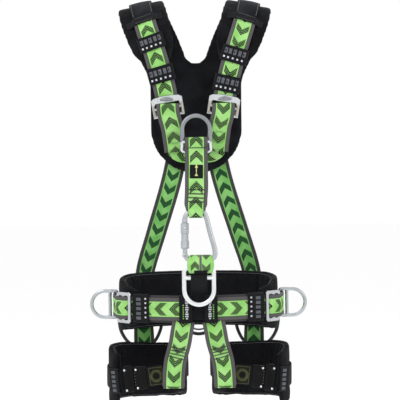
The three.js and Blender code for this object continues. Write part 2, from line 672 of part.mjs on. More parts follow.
function legBand() {
  const sloping = ([x, y]) => [x, y, slopeZ(x)];
  const roundZ = stepped([slopeZ(180), slopeZ(30)]);
  const last = BAND_ANGLES.length - 1;
  const round = BAND_ANGLES.map((angle, i) => legPoint(LEG.bandRadius, angle, roundZ(i / last)));
  const points = [...BAND_OUTER.map(sloping), ...round, ...BAND_INNER.map(sloping)];
  const normals = [...BAND_OUTER_NORMALS, ...BAND_ANGLES.map(legNormal), ...BAND_INNER_NORMALS];
  return ribbon(framesAlong(points, normals, 46), { width: LEG.bandWidth });
}

// The quick buckle is drawn flat, with distances from the slope's own point, and then turned on to the slope.
const BUCKLE = { innerX: 45, outerX: 66.5, height: 50, depth: 13, slotHeight: 34, slotDepth: 5, slotEndX: 59 };
const LEVER = { x: 55.5, length: 13, depth: 7, reach: 2.5, height: 7, room: 0.6 };
const STRAP_ENTRY = { width: 41, thickness: 4 };

function leverBlock(side, grow) {
  const outside = BUCKLE.height / 2 + LEVER.reach;
  const middle = side * (outside - LEVER.height / 2);
  const geometry = block(LEVER.length + 2 * grow, LEVER.depth + 2 * grow, LEVER.height + 2 * grow);
  return geometry.translate(LEVER.x, 0, middle);
}

function buckleBody() {
  const { innerX, outerX, height, depth, slotHeight, slotDepth, slotEndX } = BUCKLE;
  const casing = frontPlate(roundedRect(innerX, -height / 2, outerX, height / 2, 4), depth, 1.5, 2);
  const slotStartX = innerX - 10;
  const slot = block(slotEndX - slotStartX, slotDepth, slotHeight).translate((slotEndX + slotStartX) / 2, 0, 0);
  const mouths = [-1, 1].map((side) => leverBlock(side, LEVER.room));
  const pockets = mouths.map((mouth, i) => mouth.clone().translate(0, 0, (1 - 2 * i) * (LEVER.reach - LEVER.room)));
  const entry = block(8, STRAP_ENTRY.thickness, STRAP_ENTRY.width).translate(outerX, 0, 0);
  return onSlope(cut(casing, slot, entry, ...pockets, ...mouths));
}

const TONGUE = { innerX: 19, outerX: 44.4, height: 46, depth: 12, bladeEndX: 56, bladeHeight: 32, bladeDepth: 4 };

function buckleTongue() {
  const { innerX, outerX, height, depth, bladeEndX, bladeHeight, bladeDepth } = TONGUE;
  const grip = frontPlate(roundedRect(innerX, -height / 2, outerX, height / 2, 4), depth, 1.5, 2);
  const bladeX = innerX + 4;
  const blade = block(bladeEndX - bladeX, bladeDepth, bladeHeight).translate((bladeEndX + bladeX) / 2, 0, 0);
  const entry = block(14, STRAP_ENTRY.thickness, STRAP_ENTRY.width).translate(innerX, 0, 0);
  return onSlope(cut(join(grip, blade), entry));
}

const TONGUE_STRAP = { innerX: -14, outerX: 25.3 };

function tongueStrap() {
  const line = [[TONGUE_STRAP.innerX, 0, 0], [TONGUE_STRAP.outerX, 0, 0]];
  return onSlope(ribbon(framesAlong(line, [[0, -1, 0]], 2), { width: LEG.bandWidth }));
}

// The riser hangs from the belt to the leg band, and ends in a loop round the band.
const RISER_POINTS = [
  [30, -120, -29], [37, -105, -66], [44, -88, -93], [48, -82.4, -108], [51, -82, -134], [52, -82, -163],
];
const RISER_NORMALS = [[0, -1, -0.3], [0, -1, -0.3], [0, -1, -0.2], [0, -1, 0], [0, -1, 0], [0, -1, 0]];
const RISER_LOOP = { width: 28, shift: 8, lift: -6.2, wall: 2.4, room: 9.6, lowZ: -163, highZ: -105 };

function riser() {
  const { width, shift, lift, wall, room, lowZ, highZ } = RISER_LOOP;
  const frames = framesAlong(RISER_POINTS, RISER_NORMALS, 30);
  const front = ribbon(frames);
  const around = framesWhere(frames, ({ z }) => z < highZ && z > lowZ - 1);
  const within = framesWhere(frames, ({ z }) => z < highZ - 4 && z > lowZ + 3.5);
  const loop = ribbon(around, { width, thickness: room + 2 * wall, lift, shift });
  const passage = ribbon(within, { width: width + 20, thickness: room, lift, shift });
  return join(front, cut(loop, passage));
}

// The rear strap carries the back of the leg loop.
const REAR_LEG_POINTS = [[121, 92, -66], [120, 90, -100], [119, 88.5, -130], [118, 88, -162]];
const REAR_LEG_NORMALS = [[0.4, 0.9, 0], [0.2, 1, 0], [0.12, 1, 0], [0.12, 1, 0]];
const rearLegStrap = () => ribbon(framesAlong(REAR_LEG_POINTS, REAR_LEG_NORMALS, 8));

// ---------------------------------------------------------------- assembly

const KEEPER_HEIGHTS = { left: [503, 446], right: [530, 466] };

// One side's parts, built on +X. The other side is its mirror image.
function sideParts(name) {
  const [upper, lower] = KEEPER_HEIGHTS[name];
  const group = new THREE.Group();
  group.add(
    part(`${name}_shoulder_sleeve`, shoulderSleeve(), charcoal()),
    part(`${name}_shoulder_strap`, ribbon(strapFrames), green()),
    part(`${name}_upper_shoulder_keeper`, shoulderKeeper(upper), black()),
    part(`${name}_lower_shoulder_keeper`, shoulderKeeper(lower), black()),
    part(`${name}_adjuster_frame`, adjusterFrame(), aluminium()),
    part(`${name}_adjuster_bar`, adjusterBar(), steel()),
    part(`${name}_chest_strap`, chestStrap(), green()),
    part(`${name}_back_strap`, backStrap(), shadedGreen()),
    part(`${name}_waist_strap`, waistStrap(), green()),
    part(`${name}_front_keeper`, beltKeeper(FRONT_KEEPER), black()),
    part(`${name}_side_keeper`, beltKeeper(SIDE_KEEPER), black()),
    part(`${name}_waist_buckle`, waistBuckle(), steel()),
    part(`${name}_hip_ring`, hipRing(), steel()),
    part(`${name}_gear_loop`, gearLoop(SIDE_GEAR_LOOP), rubber()),
    part(`${name}_leg_pad`, legPad(), black()),
    part(`${name}_leg_band`, legBand(), charcoal()),
    part(`${name}_leg_buckle_body`, buckleBody(), plastic()),
    part(`${name}_leg_buckle_tongue`, buckleTongue(), plastic()),
    part(`${name}_upper_release_lever`, onSlope(leverBlock(1, 0)), charcoal()),
    part(`${name}_lower_release_lever`, onSlope(leverBlock(-1, 0)), charcoal()),
    part(`${name}_tongue_strap`, tongueStrap(), black()),
    part(`${name}_riser`, riser(), green()),
    part(`${name}_rear_leg_strap`, rearLegStrap(), shadedGreen()),
  );
  return group;
}

const saddle = new THREE.Group();
saddle.add(
  part('back_yoke_pad', yokePad(), black()),
  part('dorsal_plate', dorsalPlate(), charcoal()),
  part('dorsal_ring', dorsalRing(), aluminium()),
  part('sternal_ring', sternalRing(), aluminium()),
  part('sternal_strap', sternalStrap(), green()),
  part('carabiner_body', carabinerBody(), steel()),
  part('carabiner_gate', carabinerGate(), steel()),
  part('carabiner_sleeve', carabinerSleeve(), steel()),
  part('carabiner_lock_ball', carabinerLockBall(), steel()),
  part('ventral_link', ventralLink(), green()),
  part('ventral_ring', ventralRing(), aluminium()),
  part('bridge_strap', bridgeStrap(), black()),
  part('waist_pad', waistPad(), black()),
  part('rear_gear_loop', gearLoop(REAR_GEAR_LOOP), rubber()),
);

const leftSide = sideParts('left');
const rightSide = sideParts('right');
rightSide.scale.x = -1;
saddle.add(leftSide, rightSide);

export default saddle;
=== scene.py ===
import json
import math
from collections import namedtuple

import bmesh
import bpy
import numpy as np
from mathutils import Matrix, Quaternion, Vector

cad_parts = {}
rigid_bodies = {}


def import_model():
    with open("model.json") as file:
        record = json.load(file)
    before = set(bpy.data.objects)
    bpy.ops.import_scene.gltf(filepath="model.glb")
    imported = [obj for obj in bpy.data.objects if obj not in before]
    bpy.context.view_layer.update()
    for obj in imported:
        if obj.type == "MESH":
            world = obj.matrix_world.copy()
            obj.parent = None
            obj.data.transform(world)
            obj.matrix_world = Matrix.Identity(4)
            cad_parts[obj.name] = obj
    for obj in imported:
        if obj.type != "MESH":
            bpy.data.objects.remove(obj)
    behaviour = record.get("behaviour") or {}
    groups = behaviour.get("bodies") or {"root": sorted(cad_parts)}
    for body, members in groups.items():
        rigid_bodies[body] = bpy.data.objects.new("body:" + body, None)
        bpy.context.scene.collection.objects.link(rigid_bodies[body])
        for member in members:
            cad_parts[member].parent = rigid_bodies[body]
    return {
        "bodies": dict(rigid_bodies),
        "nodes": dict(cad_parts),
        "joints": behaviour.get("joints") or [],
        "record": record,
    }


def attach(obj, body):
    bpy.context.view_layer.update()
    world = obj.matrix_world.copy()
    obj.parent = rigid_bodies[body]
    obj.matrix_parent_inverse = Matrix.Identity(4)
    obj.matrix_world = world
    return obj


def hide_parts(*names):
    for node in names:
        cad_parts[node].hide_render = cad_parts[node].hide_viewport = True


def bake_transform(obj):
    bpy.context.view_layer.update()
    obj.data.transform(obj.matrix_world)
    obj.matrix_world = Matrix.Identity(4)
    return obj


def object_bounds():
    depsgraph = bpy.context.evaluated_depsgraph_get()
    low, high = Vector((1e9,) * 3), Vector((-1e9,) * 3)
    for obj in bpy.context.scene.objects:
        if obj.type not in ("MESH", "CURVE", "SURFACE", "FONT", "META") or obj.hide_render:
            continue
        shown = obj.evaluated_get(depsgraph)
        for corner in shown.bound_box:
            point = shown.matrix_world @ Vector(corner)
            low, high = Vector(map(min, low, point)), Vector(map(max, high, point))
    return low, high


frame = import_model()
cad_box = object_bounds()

MM = 0.001
SIDES = (("left", 1.0), ("right", -1.0))


# ------------------------------------------------------------------ camera, light and floor

CAMERA_DISTANCE = 2.0
CAMERA_HEIGHT = 0.216
CAMERA_SIDE = 0.006
CAMERA_LENS = 85.7
CAMERA_ROLL = math.radians(-0.75)


def add_camera():
    data = bpy.data.cameras.new("camera")
    data.lens = CAMERA_LENS
    data.sensor_width = 36.0
    camera = bpy.data.objects.new("camera", data)
    camera.rotation_mode = "QUATERNION"
    level = Vector((0, 1, 0)).to_track_quat("-Z", "Z")
    camera.rotation_quaternion = level @ Quaternion((0, 0, 1), CAMERA_ROLL)
    camera.location = (CAMERA_SIDE, -CAMERA_DISTANCE, CAMERA_HEIGHT)
    bpy.context.scene.collection.objects.link(camera)
    bpy.context.scene.camera = camera


def add_area_light(name, location, target, size, power):
    data = bpy.data.lights.new(name, "AREA")
    data.size = size
    data.energy = power
    light = bpy.data.objects.new(name, data)
    light.location = location
    light.rotation_mode = "QUATERNION"
    light.rotation_quaternion = (Vector(target) - Vector(location)).to_track_quat("-Z", "Y")
    bpy.context.scene.collection.objects.link(light)


def add_stage():
    scene = bpy.context.scene
    scene.view_settings.view_transform = "Standard"
    world = bpy.data.worlds.new("studio")
    world.use_nodes = True
    world.node_tree.nodes["Background"].inputs["Color"].default_value = (1, 1, 1, 1)
    world.node_tree.nodes["Background"].inputs["Strength"].default_value = 1.0
    scene.world = world
    middle = (0, 0, CAMERA_HEIGHT)
    add_area_light("key_light", (-1.3, -1.7, 1.9), middle, 1.2, 22)
    add_area_light("fill_light", (1.9, -1.3, 0.9), middle, 1.6, 9)
    add_area_light("back_light", (0.4, 1.8, 1.6), middle, 1.6, 10)
    half = 30.0
    height = cad_box[0].z - 0.45
    mesh = bpy.data.meshes.new("floor")
    corners = [(-half, -half, height), (half, -half, height), (half, half, height), (-half, half, height)]
    mesh.from_pydata(corners, [], [(0, 1, 2, 3)])
    floor = bpy.data.objects.new("floor", mesh)
    scene.collection.objects.link(floor)
    shader = Shader("pale_floor", roughness=0.9)
    grain = shader.noise(40.0, 3.0)
    shader.color(shader.mix(grain, "fbfbfb", "ffffff"))
    mesh.materials.append(shader.material)


# ------------------------------------------------------------------ materials

def srgb(code):
    """A colour from its six-digit code."""
    values = [int(code[i:i + 2], 16) / 255 for i in (0, 2, 4)]
    linear = [v / 12.92 if v <= 0.04045 else ((v + 0.055) / 1.055) ** 2.4 for v in values]
    return (*linear, 1.0)


class Shader:
    """One material, built from nodes. Places in its patterns are in metres, from the mesh."""

    def __init__(self, name, roughness, metallic=0.0, sheen=0.0, specular=0.5):
        self.material = bpy.data.materials.new(name)
        self.material.use_nodes = True
        self.tree = self.material.node_tree
        self.surface = self.tree.nodes["Principled BSDF"]
        self.surface.inputs["Roughness"].default_value = roughness
        self.surface.inputs["Metallic"].default_value = metallic
        self.surface.inputs["Sheen Weight"].default_value = sheen
        self.surface.inputs["Specular IOR Level"].default_value = specular
        self.place = self.tree.nodes.new("ShaderNodeTexCoord").outputs["Object"]

    def _set(self, socket, value):
        """Give a socket a link, a number or a colour; a colour may be its six-digit code."""
        if isinstance(value, bpy.types.NodeSocket):
            self.tree.links.new(value, socket)
        else:
            socket.default_value = srgb(value) if isinstance(value, str) else value

    def math(self, operation, first, second=0.0, third=0.0):
        node = self.tree.nodes.new("ShaderNodeMath")
        node.operation = operation
        for socket, value in zip(node.inputs, (first, second, third)):
            self._set(socket, value)
        return node.outputs[0]

    def times(self, first, second):
        return self.math("MULTIPLY", first, second)

    def plus(self, first, second):
        return self.math("ADD", first, second)

    def mix(self, factor, first, second):
        node = self.tree.nodes.new("ShaderNodeMix")
        node.data_type = "RGBA"
        self._set(node.inputs[0], factor)
        self._set(node.inputs[6], first)
        self._set(node.inputs[7], second)
        return node.outputs[2]

    def step(self, value, low, high):
        """0 below low, 1 above high, and smooth between them."""
        node = self.tree.nodes.new("ShaderNodeMapRange")
        node.interpolation_type = "SMOOTHSTEP"
        self._set(node.inputs["Value"], value)
        node.inputs["From Min"].default_value = low
        node.inputs["From Max"].default_value = high
        return node.outputs["Result"]

    def stretched(self, x, y, z):
        node = self.tree.nodes.new("ShaderNodeVectorMath")
        node.operation = "MULTIPLY"
        self._set(node.inputs[0], self.place)
        node.inputs[1].default_value = (x, y, z)
        return node.outputs[0]

    def noise(self, scale, detail=2.0, place=None):
        node = self.tree.nodes.new("ShaderNodeTexNoise")
        self._set(node.inputs["Vector"], place or self.place)
        node.inputs["Scale"].default_value = scale
        node.inputs["Detail"].default_value = detail
        return node.outputs["Fac"]

    def cells(self, scale):
        node = self.tree.nodes.new("ShaderNodeTexVoronoi")
        self._set(node.inputs["Vector"], self.place)
        node.inputs["Scale"].default_value = scale
        return node.outputs["Distance"]

    def flat(self):
        """Across and along a strap, in millimetres, from the mesh's own coordinates."""
        node = self.tree.nodes.new("ShaderNodeUVMap")
        node.uv_map = "strap"
        split = self.tree.nodes.new("ShaderNodeSeparateXYZ")
        self.tree.links.new(node.outputs[0], split.inputs[0])
        return self.times(split.outputs[0], 1000.0), self.times(split.outputs[1], 1000.0)

    def color(self, value):
        self._set(self.surface.inputs["Base Color"], value)

    def roughness(self, value, low, high):
        node = self.tree.nodes.new("ShaderNodeMapRange")
        self._set(node.inputs["Value"], value)
        node.inputs["To Min"].default_value = low
        node.inputs["To Max"].default_value = high
        self._set(self.surface.inputs["Roughness"], node.outputs["Result"])

    def bump(self, height, depth):
        node = self.tree.nodes.new("ShaderNodeBump")
        node.inputs["Strength"].default_value = 1.0
        node.inputs["Distance"].default_value = depth
        self._set(node.inputs["Height"], height)
        self._set(self.surface.inputs["Normal"], node.outputs["Normal"])


def weave_height(shader, across, along, pitch):
    """The ribs of a narrow woven tape: slanted yarns that turn over at each rib."""
    ribs = shader.math("ABSOLUTE", shader.math("SINE", shader.times(across, math.pi / pitch)))
    lean = shader.plus(along, shader.math("PINGPONG", across, pitch))
    yarns = shader.math("ABSOLUTE", shader.math("SINE", shader.times(lean, math.pi / (pitch * 0.6))))
    return shader.times(ribs, yarns)


GREEN_HALF = 15.0        # half the width of the coloured middle of the 45 mm webbing, in millimetres
CHEVRON = (31.0, 14.0, 12.6)        # pitch, depth and half width
LINK_CHEVRON = (26.0, 12.0, 8.2)
LINK_GREEN_MIDDLE = 11.0
CHECK_SIZE = 2.3


def chevrons(shader, along, sense, width, size, checked, colours, solid=0.0):
    """Checked chevrons on a mottled ground. width is the distance from their middle line, checked is what their
    checks are counted across, and size is their pitch, depth and half width."""
    pitch, depth, half = size
    green, pale, ink = colours
    slant = shader.plus(shader.times(along, sense), width)
    arm = shader.times(shader.math("LESS_THAN", shader.math("FLOORED_MODULO", slant, pitch), depth),
                       shader.math("LESS_THAN", width, half))
    turn = math.pi / CHECK_SIZE
    checks = shader.times(shader.math("SINE", shader.times(checked, turn)),
                          shader.math("SINE", shader.times(along, turn)))
    printed = shader.times(arm, shader.step(checks, -0.58 - solid, -0.38 - solid))
    ground = shader.mix(shader.step(shader.noise(38.0, 3.0), 0.3, 0.7), green, pale)
    return shader.mix(printed, ground, ink)


def webbing(name, colours, edge, points_up, solid=0.0):
    """Webbing with grey edges and checked chevrons on its green middle."""
    shader = Shader(name, roughness=0.72, sheen=0.04, specular=0.2)
    across, along = shader.flat()
    width = shader.math("ABSOLUTE", across)
    middle = chevrons(shader, along, 1.0 if points_up else -1.0, width, CHEVRON, width, colours, solid)
    speck = shader.noise(900.0, 1.0)
    border = shader.mix(speck, edge, tuple(c * 0.62 for c in edge[:3]) + (1.0,))
    seam = shader.mix(shader.step(width, GREEN_HALF + 0.9, GREEN_HALF + 1.5), "2f3b2c", border)
    shader.color(shader.mix(shader.step(width, GREEN_HALF - 0.2, GREEN_HALF + 0.2), middle, seam))
    shader.bump(weave_height(shader, across, along, 1.5), 0.00022)
    shader.roughness(speck, 0.62, 0.82)
    return shader.material


def tape(name, base, light, pitch=1.2, rough=(0.7, 0.9)):
    """Plain woven tape or elastic."""
    shader = Shader(name, roughness=0.8, sheen=0.03, specular=0.14)
    across, along = shader.flat()
    height = weave_height(shader, across, along, pitch)
    blotch = shader.noise(60.0, 3.0)
    shade = shader.times(height, shader.plus(0.4, shader.times(blotch, 0.6)))
    shader.color(shader.mix(shade, base, light))
    shader.bump(height, 0.00025)
    shader.roughness(blotch, *rough)
    return shader.material


def fabric(name, base, light, scale=620.0, depth=0.0003, sheen=0.03):
    """Padding cloth: a fine knit over foam, with soft lint and creases."""
    shader = Shader(name, roughness=0.9, sheen=sheen, specular=0.1)
    knit = shader.cells(scale)
    creases = shader.noise(26.0, 4.0)
    lint = shader.noise(300.0, 2.0)
    shade = shader.times(shader.step(creases, 0.25, 0.8), shader.plus(0.35, lint))
    shader.color(shader.mix(shade, base, light))
    height = shader.plus(shader.times(knit, 0.5), shader.times(creases, 2.0))
    shader.bump(height, depth)
    shader.roughness(lint, 0.82, 0.97)
    return shader.material


def air_mesh(name, base, light):
    """Spacer mesh on the padding's inner face: rows of small round holes."""
    shader = Shader(name, roughness=0.85, sheen=0.03, specular=0.1)
    holes = shader.cells(330.0)
    rim = shader.step(holes, 0.25, 0.5)
    creases = shader.noise(20.0, 3.0)
    shader.color(shader.mix(shader.times(rim, creases), base, light))
    shader.bump(rim, 0.0004)
    shader.roughness(creases, 0.75, 0.95)
    return shader.material


def metal(name, base, dark, rough, brush=(1.0, 1.0, 1.0), bump=0.00005):
    """Satin metal: fine drawing lines, handling scratches and slightly darker rubbed patches."""
    shader = Shader(name, roughness=0.3, metallic=1.0, specular=0.5)
    lines = shader.noise(500.0, 3.0, shader.stretched(*brush))
    patches = shader.noise(55.0, 4.0)
    scratches = shader.step(shader.noise(240.0, 5.0, shader.stretched(1.0, 0.2, 0.35)), 0.58, 0.66)
    shade = shader.plus(shader.times(patches, 0.55), shader.times(scratches, 0.3))
    shader.color(shader.mix(shade, base, dark))
    shader.roughness(shader.plus(shader.times(lines, 0.6), shader.times(patches, 0.4)), *rough)
    shader.bump(lines, bump)
    return shader.material


def moulded(name, base, light, rough=(0.35, 0.55), bump=0.00012, specular=0.35):
    """Black moulded or powder-coated parts, with a fine orange-peel skin and rubbed edges."""
    shader = Shader(name, roughness=0.45, specular=specular)
    peel = shader.noise(1100.0, 2.0)
    rubbed = shader.step(shader.noise(90.0, 4.0), 0.5, 0.75)
    shader.color(shader.mix(rubbed, base, light))
    shader.bump(peel, bump)
    shader.roughness(rubbed, *rough)
    return shader.material


def thread(name, base, light):
    """Sewing thread: twisted strands."""
    shader = Shader(name, roughness=0.6, sheen=0.2)
    strands = shader.noise(1500.0, 2.0, shader.stretched(1.0, 1.0, 0.4))
    shader.color(shader.mix(strands, base, light))
    shader.bump(strands, 0.0001)
    return shader.material


# ------------------------------------------------------------------ curves and lofted shapes

Frame = namedtuple("Frame", "point tangent side normal along")


class Curve:
    """A smooth curve through points, in millimetres, walked by its share of length."""

    SAMPLES = 400

    def __init__(self, points, closed=False):
        self.points = [Vector(p) for p in points]
        self.closed = closed
        self.spans = len(points) if closed else len(points) - 1
        places = [self._at(i / self.SAMPLES) for i in range(self.SAMPLES + 1)]
        self.lengths = [0.0]
        for first, second in zip(places, places[1:]):
            self.lengths.append(self.lengths[-1] + (second - first).length)
        self.length = self.lengths[-1]

    def _point(self, index):
        points = self.points
        if self.closed:
            return points[index % len(points)]
        if index < 0:
            return points[0] * 2 - points[1]
        if index >= len(points):
            return points[-1] * 2 - points[-2]
        return points[index]

    def _at(self, t):
        place = min(t * self.spans, self.spans - 1e-9)
        index = int(place)
        weight = place - index
        p0, p1, p2, p3 = (self._point(index + k) for k in (-1, 0, 1, 2))
        d0, d1, d2 = (max((b - a).length, 1e-6) ** 0.5 for a, b in ((p0, p1), (p1, p2), (p2, p3)))
        m1 = ((p1 - p0) / d0 - (p2 - p0) / (d0 + d1) + (p2 - p1) / d1) * d1
        m2 = ((p2 - p1) / d1 - (p3 - p1) / (d1 + d2) + (p3 - p2) / d2) * d1
        w2, w3 = weight * weight, weight ** 3
        return (p1 * (2 * w3 - 3 * w2 + 1) + m1 * (w3 - 2 * w2 + weight)
                + p2 * (3 * w2 - 2 * w3) + m2 * (w3 - w2))

    def share(self, along):
        """The curve's own parameter at a share of its length."""
        target = along * self.length
        low = int(np.searchsorted(self.lengths, target, side="right")) - 1
        low = max(0, min(low, self.SAMPLES - 1))
        span = self.lengths[low + 1] - self.lengths[low]
        return (low + (target - self.lengths[low]) / max(span, 1e-9)) / self.SAMPLES

    def at(self, along):
        return self._at(self.share(along))

    def tangent(self, along):
        t = self.share(along)
        return (self._at(min(1, t + 0.0015)) - self._at(max(0, t - 0.0015))).normalized()


def walk(curve, step, least=3):
    """Even shares of a curve's length, with the tangent at each."""
    count = max(least, round(curve.length / step))
    return [(i / count, curve.tangent(i / count)) for i in range(count if curve.closed else count + 1)]


def frames_along(points, normals, step=4.0):
    """Frames along a strap's middle, in millimetres; its face turns from one normal to the next."""
    curve = Curve(points)
    facings = [Vector(n) for n in (normals if len(normals) > 1 else list(normals) * len(points))]
    frames = []
    for along, tangent in walk(curve, step, 2):
        place = min(curve.share(along) * (len(facings) - 1), len(facings) - 1 - 1e-9)
        low = int(place)
        facing = facings[low].lerp(facings[low + 1], place - low)
        side = facing.cross(tangent).normalized()
        frames.append(Frame(curve.at(along), tangent, side, tangent.cross(side), along * curve.length))
    return frames


def flat_frames(points, side, step=1.5, closed=False):
    """Frames along a curve in one plane: the plane's normal is their side."""
    curve = Curve(points, closed)
    side = Vector(side).normalized()
    return [Frame(curve.at(along), tangent, side, tangent.cross(side), along * curve.length)
            for along, tangent in walk(curve, step)]


def flipped(frames):
    """The same frames with their face turned over."""
    return [f._replace(side=-f.side, normal=-f.normal) for f in frames]


def sided_frames(points, side, step, least=3):
    """Frames along a line whose face turns about one side."""
    curve = Curve(points)
    frames = []
    for along, tangent in walk(curve, step, least):
        across = (side - tangent * side.dot(tangent)).normalized()
        frames.append(Frame(curve.at(along), tangent, across, tangent.cross(across), along * curve.length))
    return frames


def level_frames(points, step=3.0):
    """Frames along a line that bends in Y and Z, with level sides; its end faces forwards."""
    frames = sided_frames(points, Vector((1, 0, 0)), step)
    return flipped(frames) if frames[-1].normal.y > 0 else frames


def facing_frames(points, side, facing):
    """Frames along a line, each with its face turned towards one way."""
    frames = sided_frames(points, side, 2.5, 4)
    return [f if f.normal.dot(facing) >= 0 else flipped([f])[0] for f in frames]


def frame_at(frames, z):
    """The frame at a height, between the two that it lies between."""
    for first, second in zip(frames, frames[1:]):
        if (first.point.z - z) * (second.point.z - z) <= 0 and first.point.z != second.point.z:
            part = (z - first.point.z) / (second.point.z - first.point.z)
            vectors = [getattr(first, k).lerp(getattr(second, k), part) for k in Frame._fields[:4]]
            return Frame(*vectors, first.along + (second.along - first.along) * part)
    raise ValueError(f"no frame at height {z}")


def turned(frame, degrees):
    """A frame turned about its own normal."""
    angle = math.radians(degrees)
    tangent = frame.tangent * math.cos(angle) + frame.side * math.sin(angle)
    return frame._replace(tangent=tangent, side=frame.normal.cross(tangent))


def mirrored(points, sign):
    return [(p[0] * sign, p[1], p[2]) for p in points]


def stepped(values):
    """A function of 0 to 1 that eases from one value of a list to the next."""
    def value(along):
        place = min(along * (len(values) - 1), len(values) - 1 - 1e-9)
        low = int(place)
        return values[low] + (values[low + 1] - values[low]) * (place - low)
    return value


def box_section(width, thickness, edge, columns=6, crown=0.0):
    """A flat section with round edges, across and through, as a closed ring of places."""
    half, deep = width / 2, thickness / 2
    edge = min(edge, deep * 0.999)
    flat = half - edge
    ring = []
    for i in range(columns + 1):
        x = -flat + 2 * flat * i / columns
        ring.append((x, deep + crown * (1 - (x / half) ** 2)))
    ring += [(flat + edge * math.sin(a), deep - edge + edge * math.cos(a)) for a in (0.52, 1.05, 1.57)]
    ring += [(flat + edge * math.cos(a), edge - deep - edge * math.sin(a)) for a in (0.0, 0.52, 1.05)]
    ring += [(-x, -y) for x, y in ring]
    return ring


def round_section(half_wide, half_deep, sides=16, power=2.0):
    """An oval or, with a higher power, a squarer section."""
    ring = []
    for i in range(sides):
        angle = 2 * math.pi * i / sides
        c, s = math.cos(angle), math.sin(angle)
        ring.append((math.copysign(abs(c) ** (2 / power), c) * half_wide,
                     math.copysign(abs(s) ** (2 / power), s) * half_deep))
    return ring[::-1]


def new_object(name, verts, faces, materials, flat=None, indices=None, smooth=True):
    """A mesh object from places in millimetres, with the strap coordinates of each vertex."""
    mesh = bpy.data.meshes.new(name)
    mesh.from_pydata([tuple(c * MM for c in v) for v in verts], [], faces)
    for material in materials:
        mesh.materials.append(material)
    if indices:
        mesh.polygons.foreach_set("material_index", indices)
    if flat:
        layer = mesh.uv_layers.new(name="strap")
        order = np.zeros(len(mesh.loops), np.int32)
        mesh.loops.foreach_get("vertex_index", order)
        places = np.array(flat, float)[order] * MM
        layer.data.foreach_set("uv", places.astype(np.float32).ravel())
    mesh.polygons.foreach_set("use_smooth", [smooth] * len(mesh.polygons))
    bm = bmesh.new()
    bm.from_mesh(mesh)
    bmesh.ops.recalc_face_normals(bm, faces=bm.faces)
    bm.to_mesh(mesh)
    bm.free()
    obj = bpy.data.objects.new(name, mesh)
    bpy.context.scene.collection.objects.link(obj)
    return obj


def loft(name, frames, section, materials, lift=0.0, closed=False, wave=None):
    """A section carried along frames. section is a ring of places, or gives one for a share of the length.
    The second material, if there is one, is for the inner face."""
    verts, flat, faces, indices = [], [], [], []
    last = len(frames) - (0 if closed else 1)
    for i, frame in enumerate(frames):
        ring = section(i / last) if callable(section) else section
        for x, y in ring:
            move = wave(frame, x) if wave else 0.0
            verts.append(frame.point + frame.side * x + frame.normal * (y + lift + move))
            flat.append((x, frame.along))
    size = len(verts) // len(frames)
    for i in range(last):
        base, after = i * size, ((i + 1) % len(frames)) * size
        for k in range(size):
            j = (k + 1) % size
            faces.append((base + k, base + j, after + j, after + k))
            indices.append(1 if len(materials) > 1 and ring[k][1] + ring[j][1] < 0 else 0)
    if not closed:
        faces.append(tuple(range(size))[::-1])
        faces.append(tuple((len(frames) - 1) * size + k for k in range(size)))
        indices += [0, 0]
    return new_object(name, verts, faces, materials, flat, indices)


def strap(name, frames, materials, width=45.0, thickness=3.0, edge=1.1, wave=0.35, **more):
    """Woven strap: a thin band with soft edges that lies a little unevenly."""
    def lie(frame, x):
        return wave * (math.sin(frame.along * 0.071 + x * 0.05) * 0.6
                       + math.sin(frame.along * 0.163 - x * 0.11) * 0.4)

    if callable(width):
        section = lambda along: box_section(width(along), thickness, edge)
    else:
        section = box_section(width, thickness, edge)
    return loft(name, frames, section, materials, wave=lie if wave else None, **more)


def tube(name, points, radius, material, sides=14, step=2.0):
    """A round bar or cord along a smooth curve."""
    curve = Curve(points)
    normal = curve.tangent(0).orthogonal().normalized()
    frames = []
    for along, tangent in walk(curve, step):
        normal = (normal - tangent * normal.dot(tangent)).normalized()
        frames.append(Frame(curve.at(along), tangent, normal.cross(tangent), normal, along * curve.length))
    return loft(name, frames, round_section(radius, radius, sides), [material])


def joined(name, objects):
    """Several mesh objects made one."""
    target = objects[0]
    if len(objects) > 1:
        with bpy.context.temp_override(active_object=target, selected_editable_objects=objects):
            bpy.ops.object.join()
    target.name = name
    target.data.name = name
    return target


def finished(obj, body, slot, *nodes):
    """The piece rides on its body and stands for its CAD nodes, which it hides. Its slot is not used."""
    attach(obj, body)
    if nodes:
        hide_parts(*nodes)
    return obj


def dress(node, material, bevel=0.5):
    """A CAD node kept as it is, with its finish and softened edges."""
    obj = frame["nodes"][node]
    obj.data.materials.clear()
    obj.data.materials.append(material)
    if bevel:
        soft = obj.modifiers.new("soft_edges", "BEVEL")
        soft.width = bevel * MM
        soft.segments = 2
        soft.limit_method = "ANGLE"
        soft.angle_limit = math.radians(35)
    obj.data.polygons.foreach_set("use_smooth", [False] * len(obj.data.polygons))
    return obj


# ------------------------------------------------------------------ small trim

def boxes(name, frame_at_middle, cells, lift, depth, materials):
    """Thin raised rectangles on a face: each has its middle across and along, its width and its height."""
    verts, faces = [], []
    f = frame_at_middle
    for across, along, width, height in cells:
        base = len(verts)
        for out in (lift, lift + depth):
            inset = 0.0 if out == lift else 0.25
            for sx, sy in ((-1, -1), (1, -1), (1, 1), (-1, 1)):
                x, y = across + sx * (width / 2 - inset), along + sy * (height / 2 - inset)
                verts.append(f.point + f.side * x + f.tangent * y + f.normal * out)
        faces += [tuple(base + k for k in face) for face in
                  ((4, 5, 6, 7), (3, 2, 1, 0), (0, 1, 5, 4), (1, 2, 6, 5), (2, 3, 7, 6), (3, 0, 4, 7))]
    return new_object(name, verts, faces, materials, smooth=False)


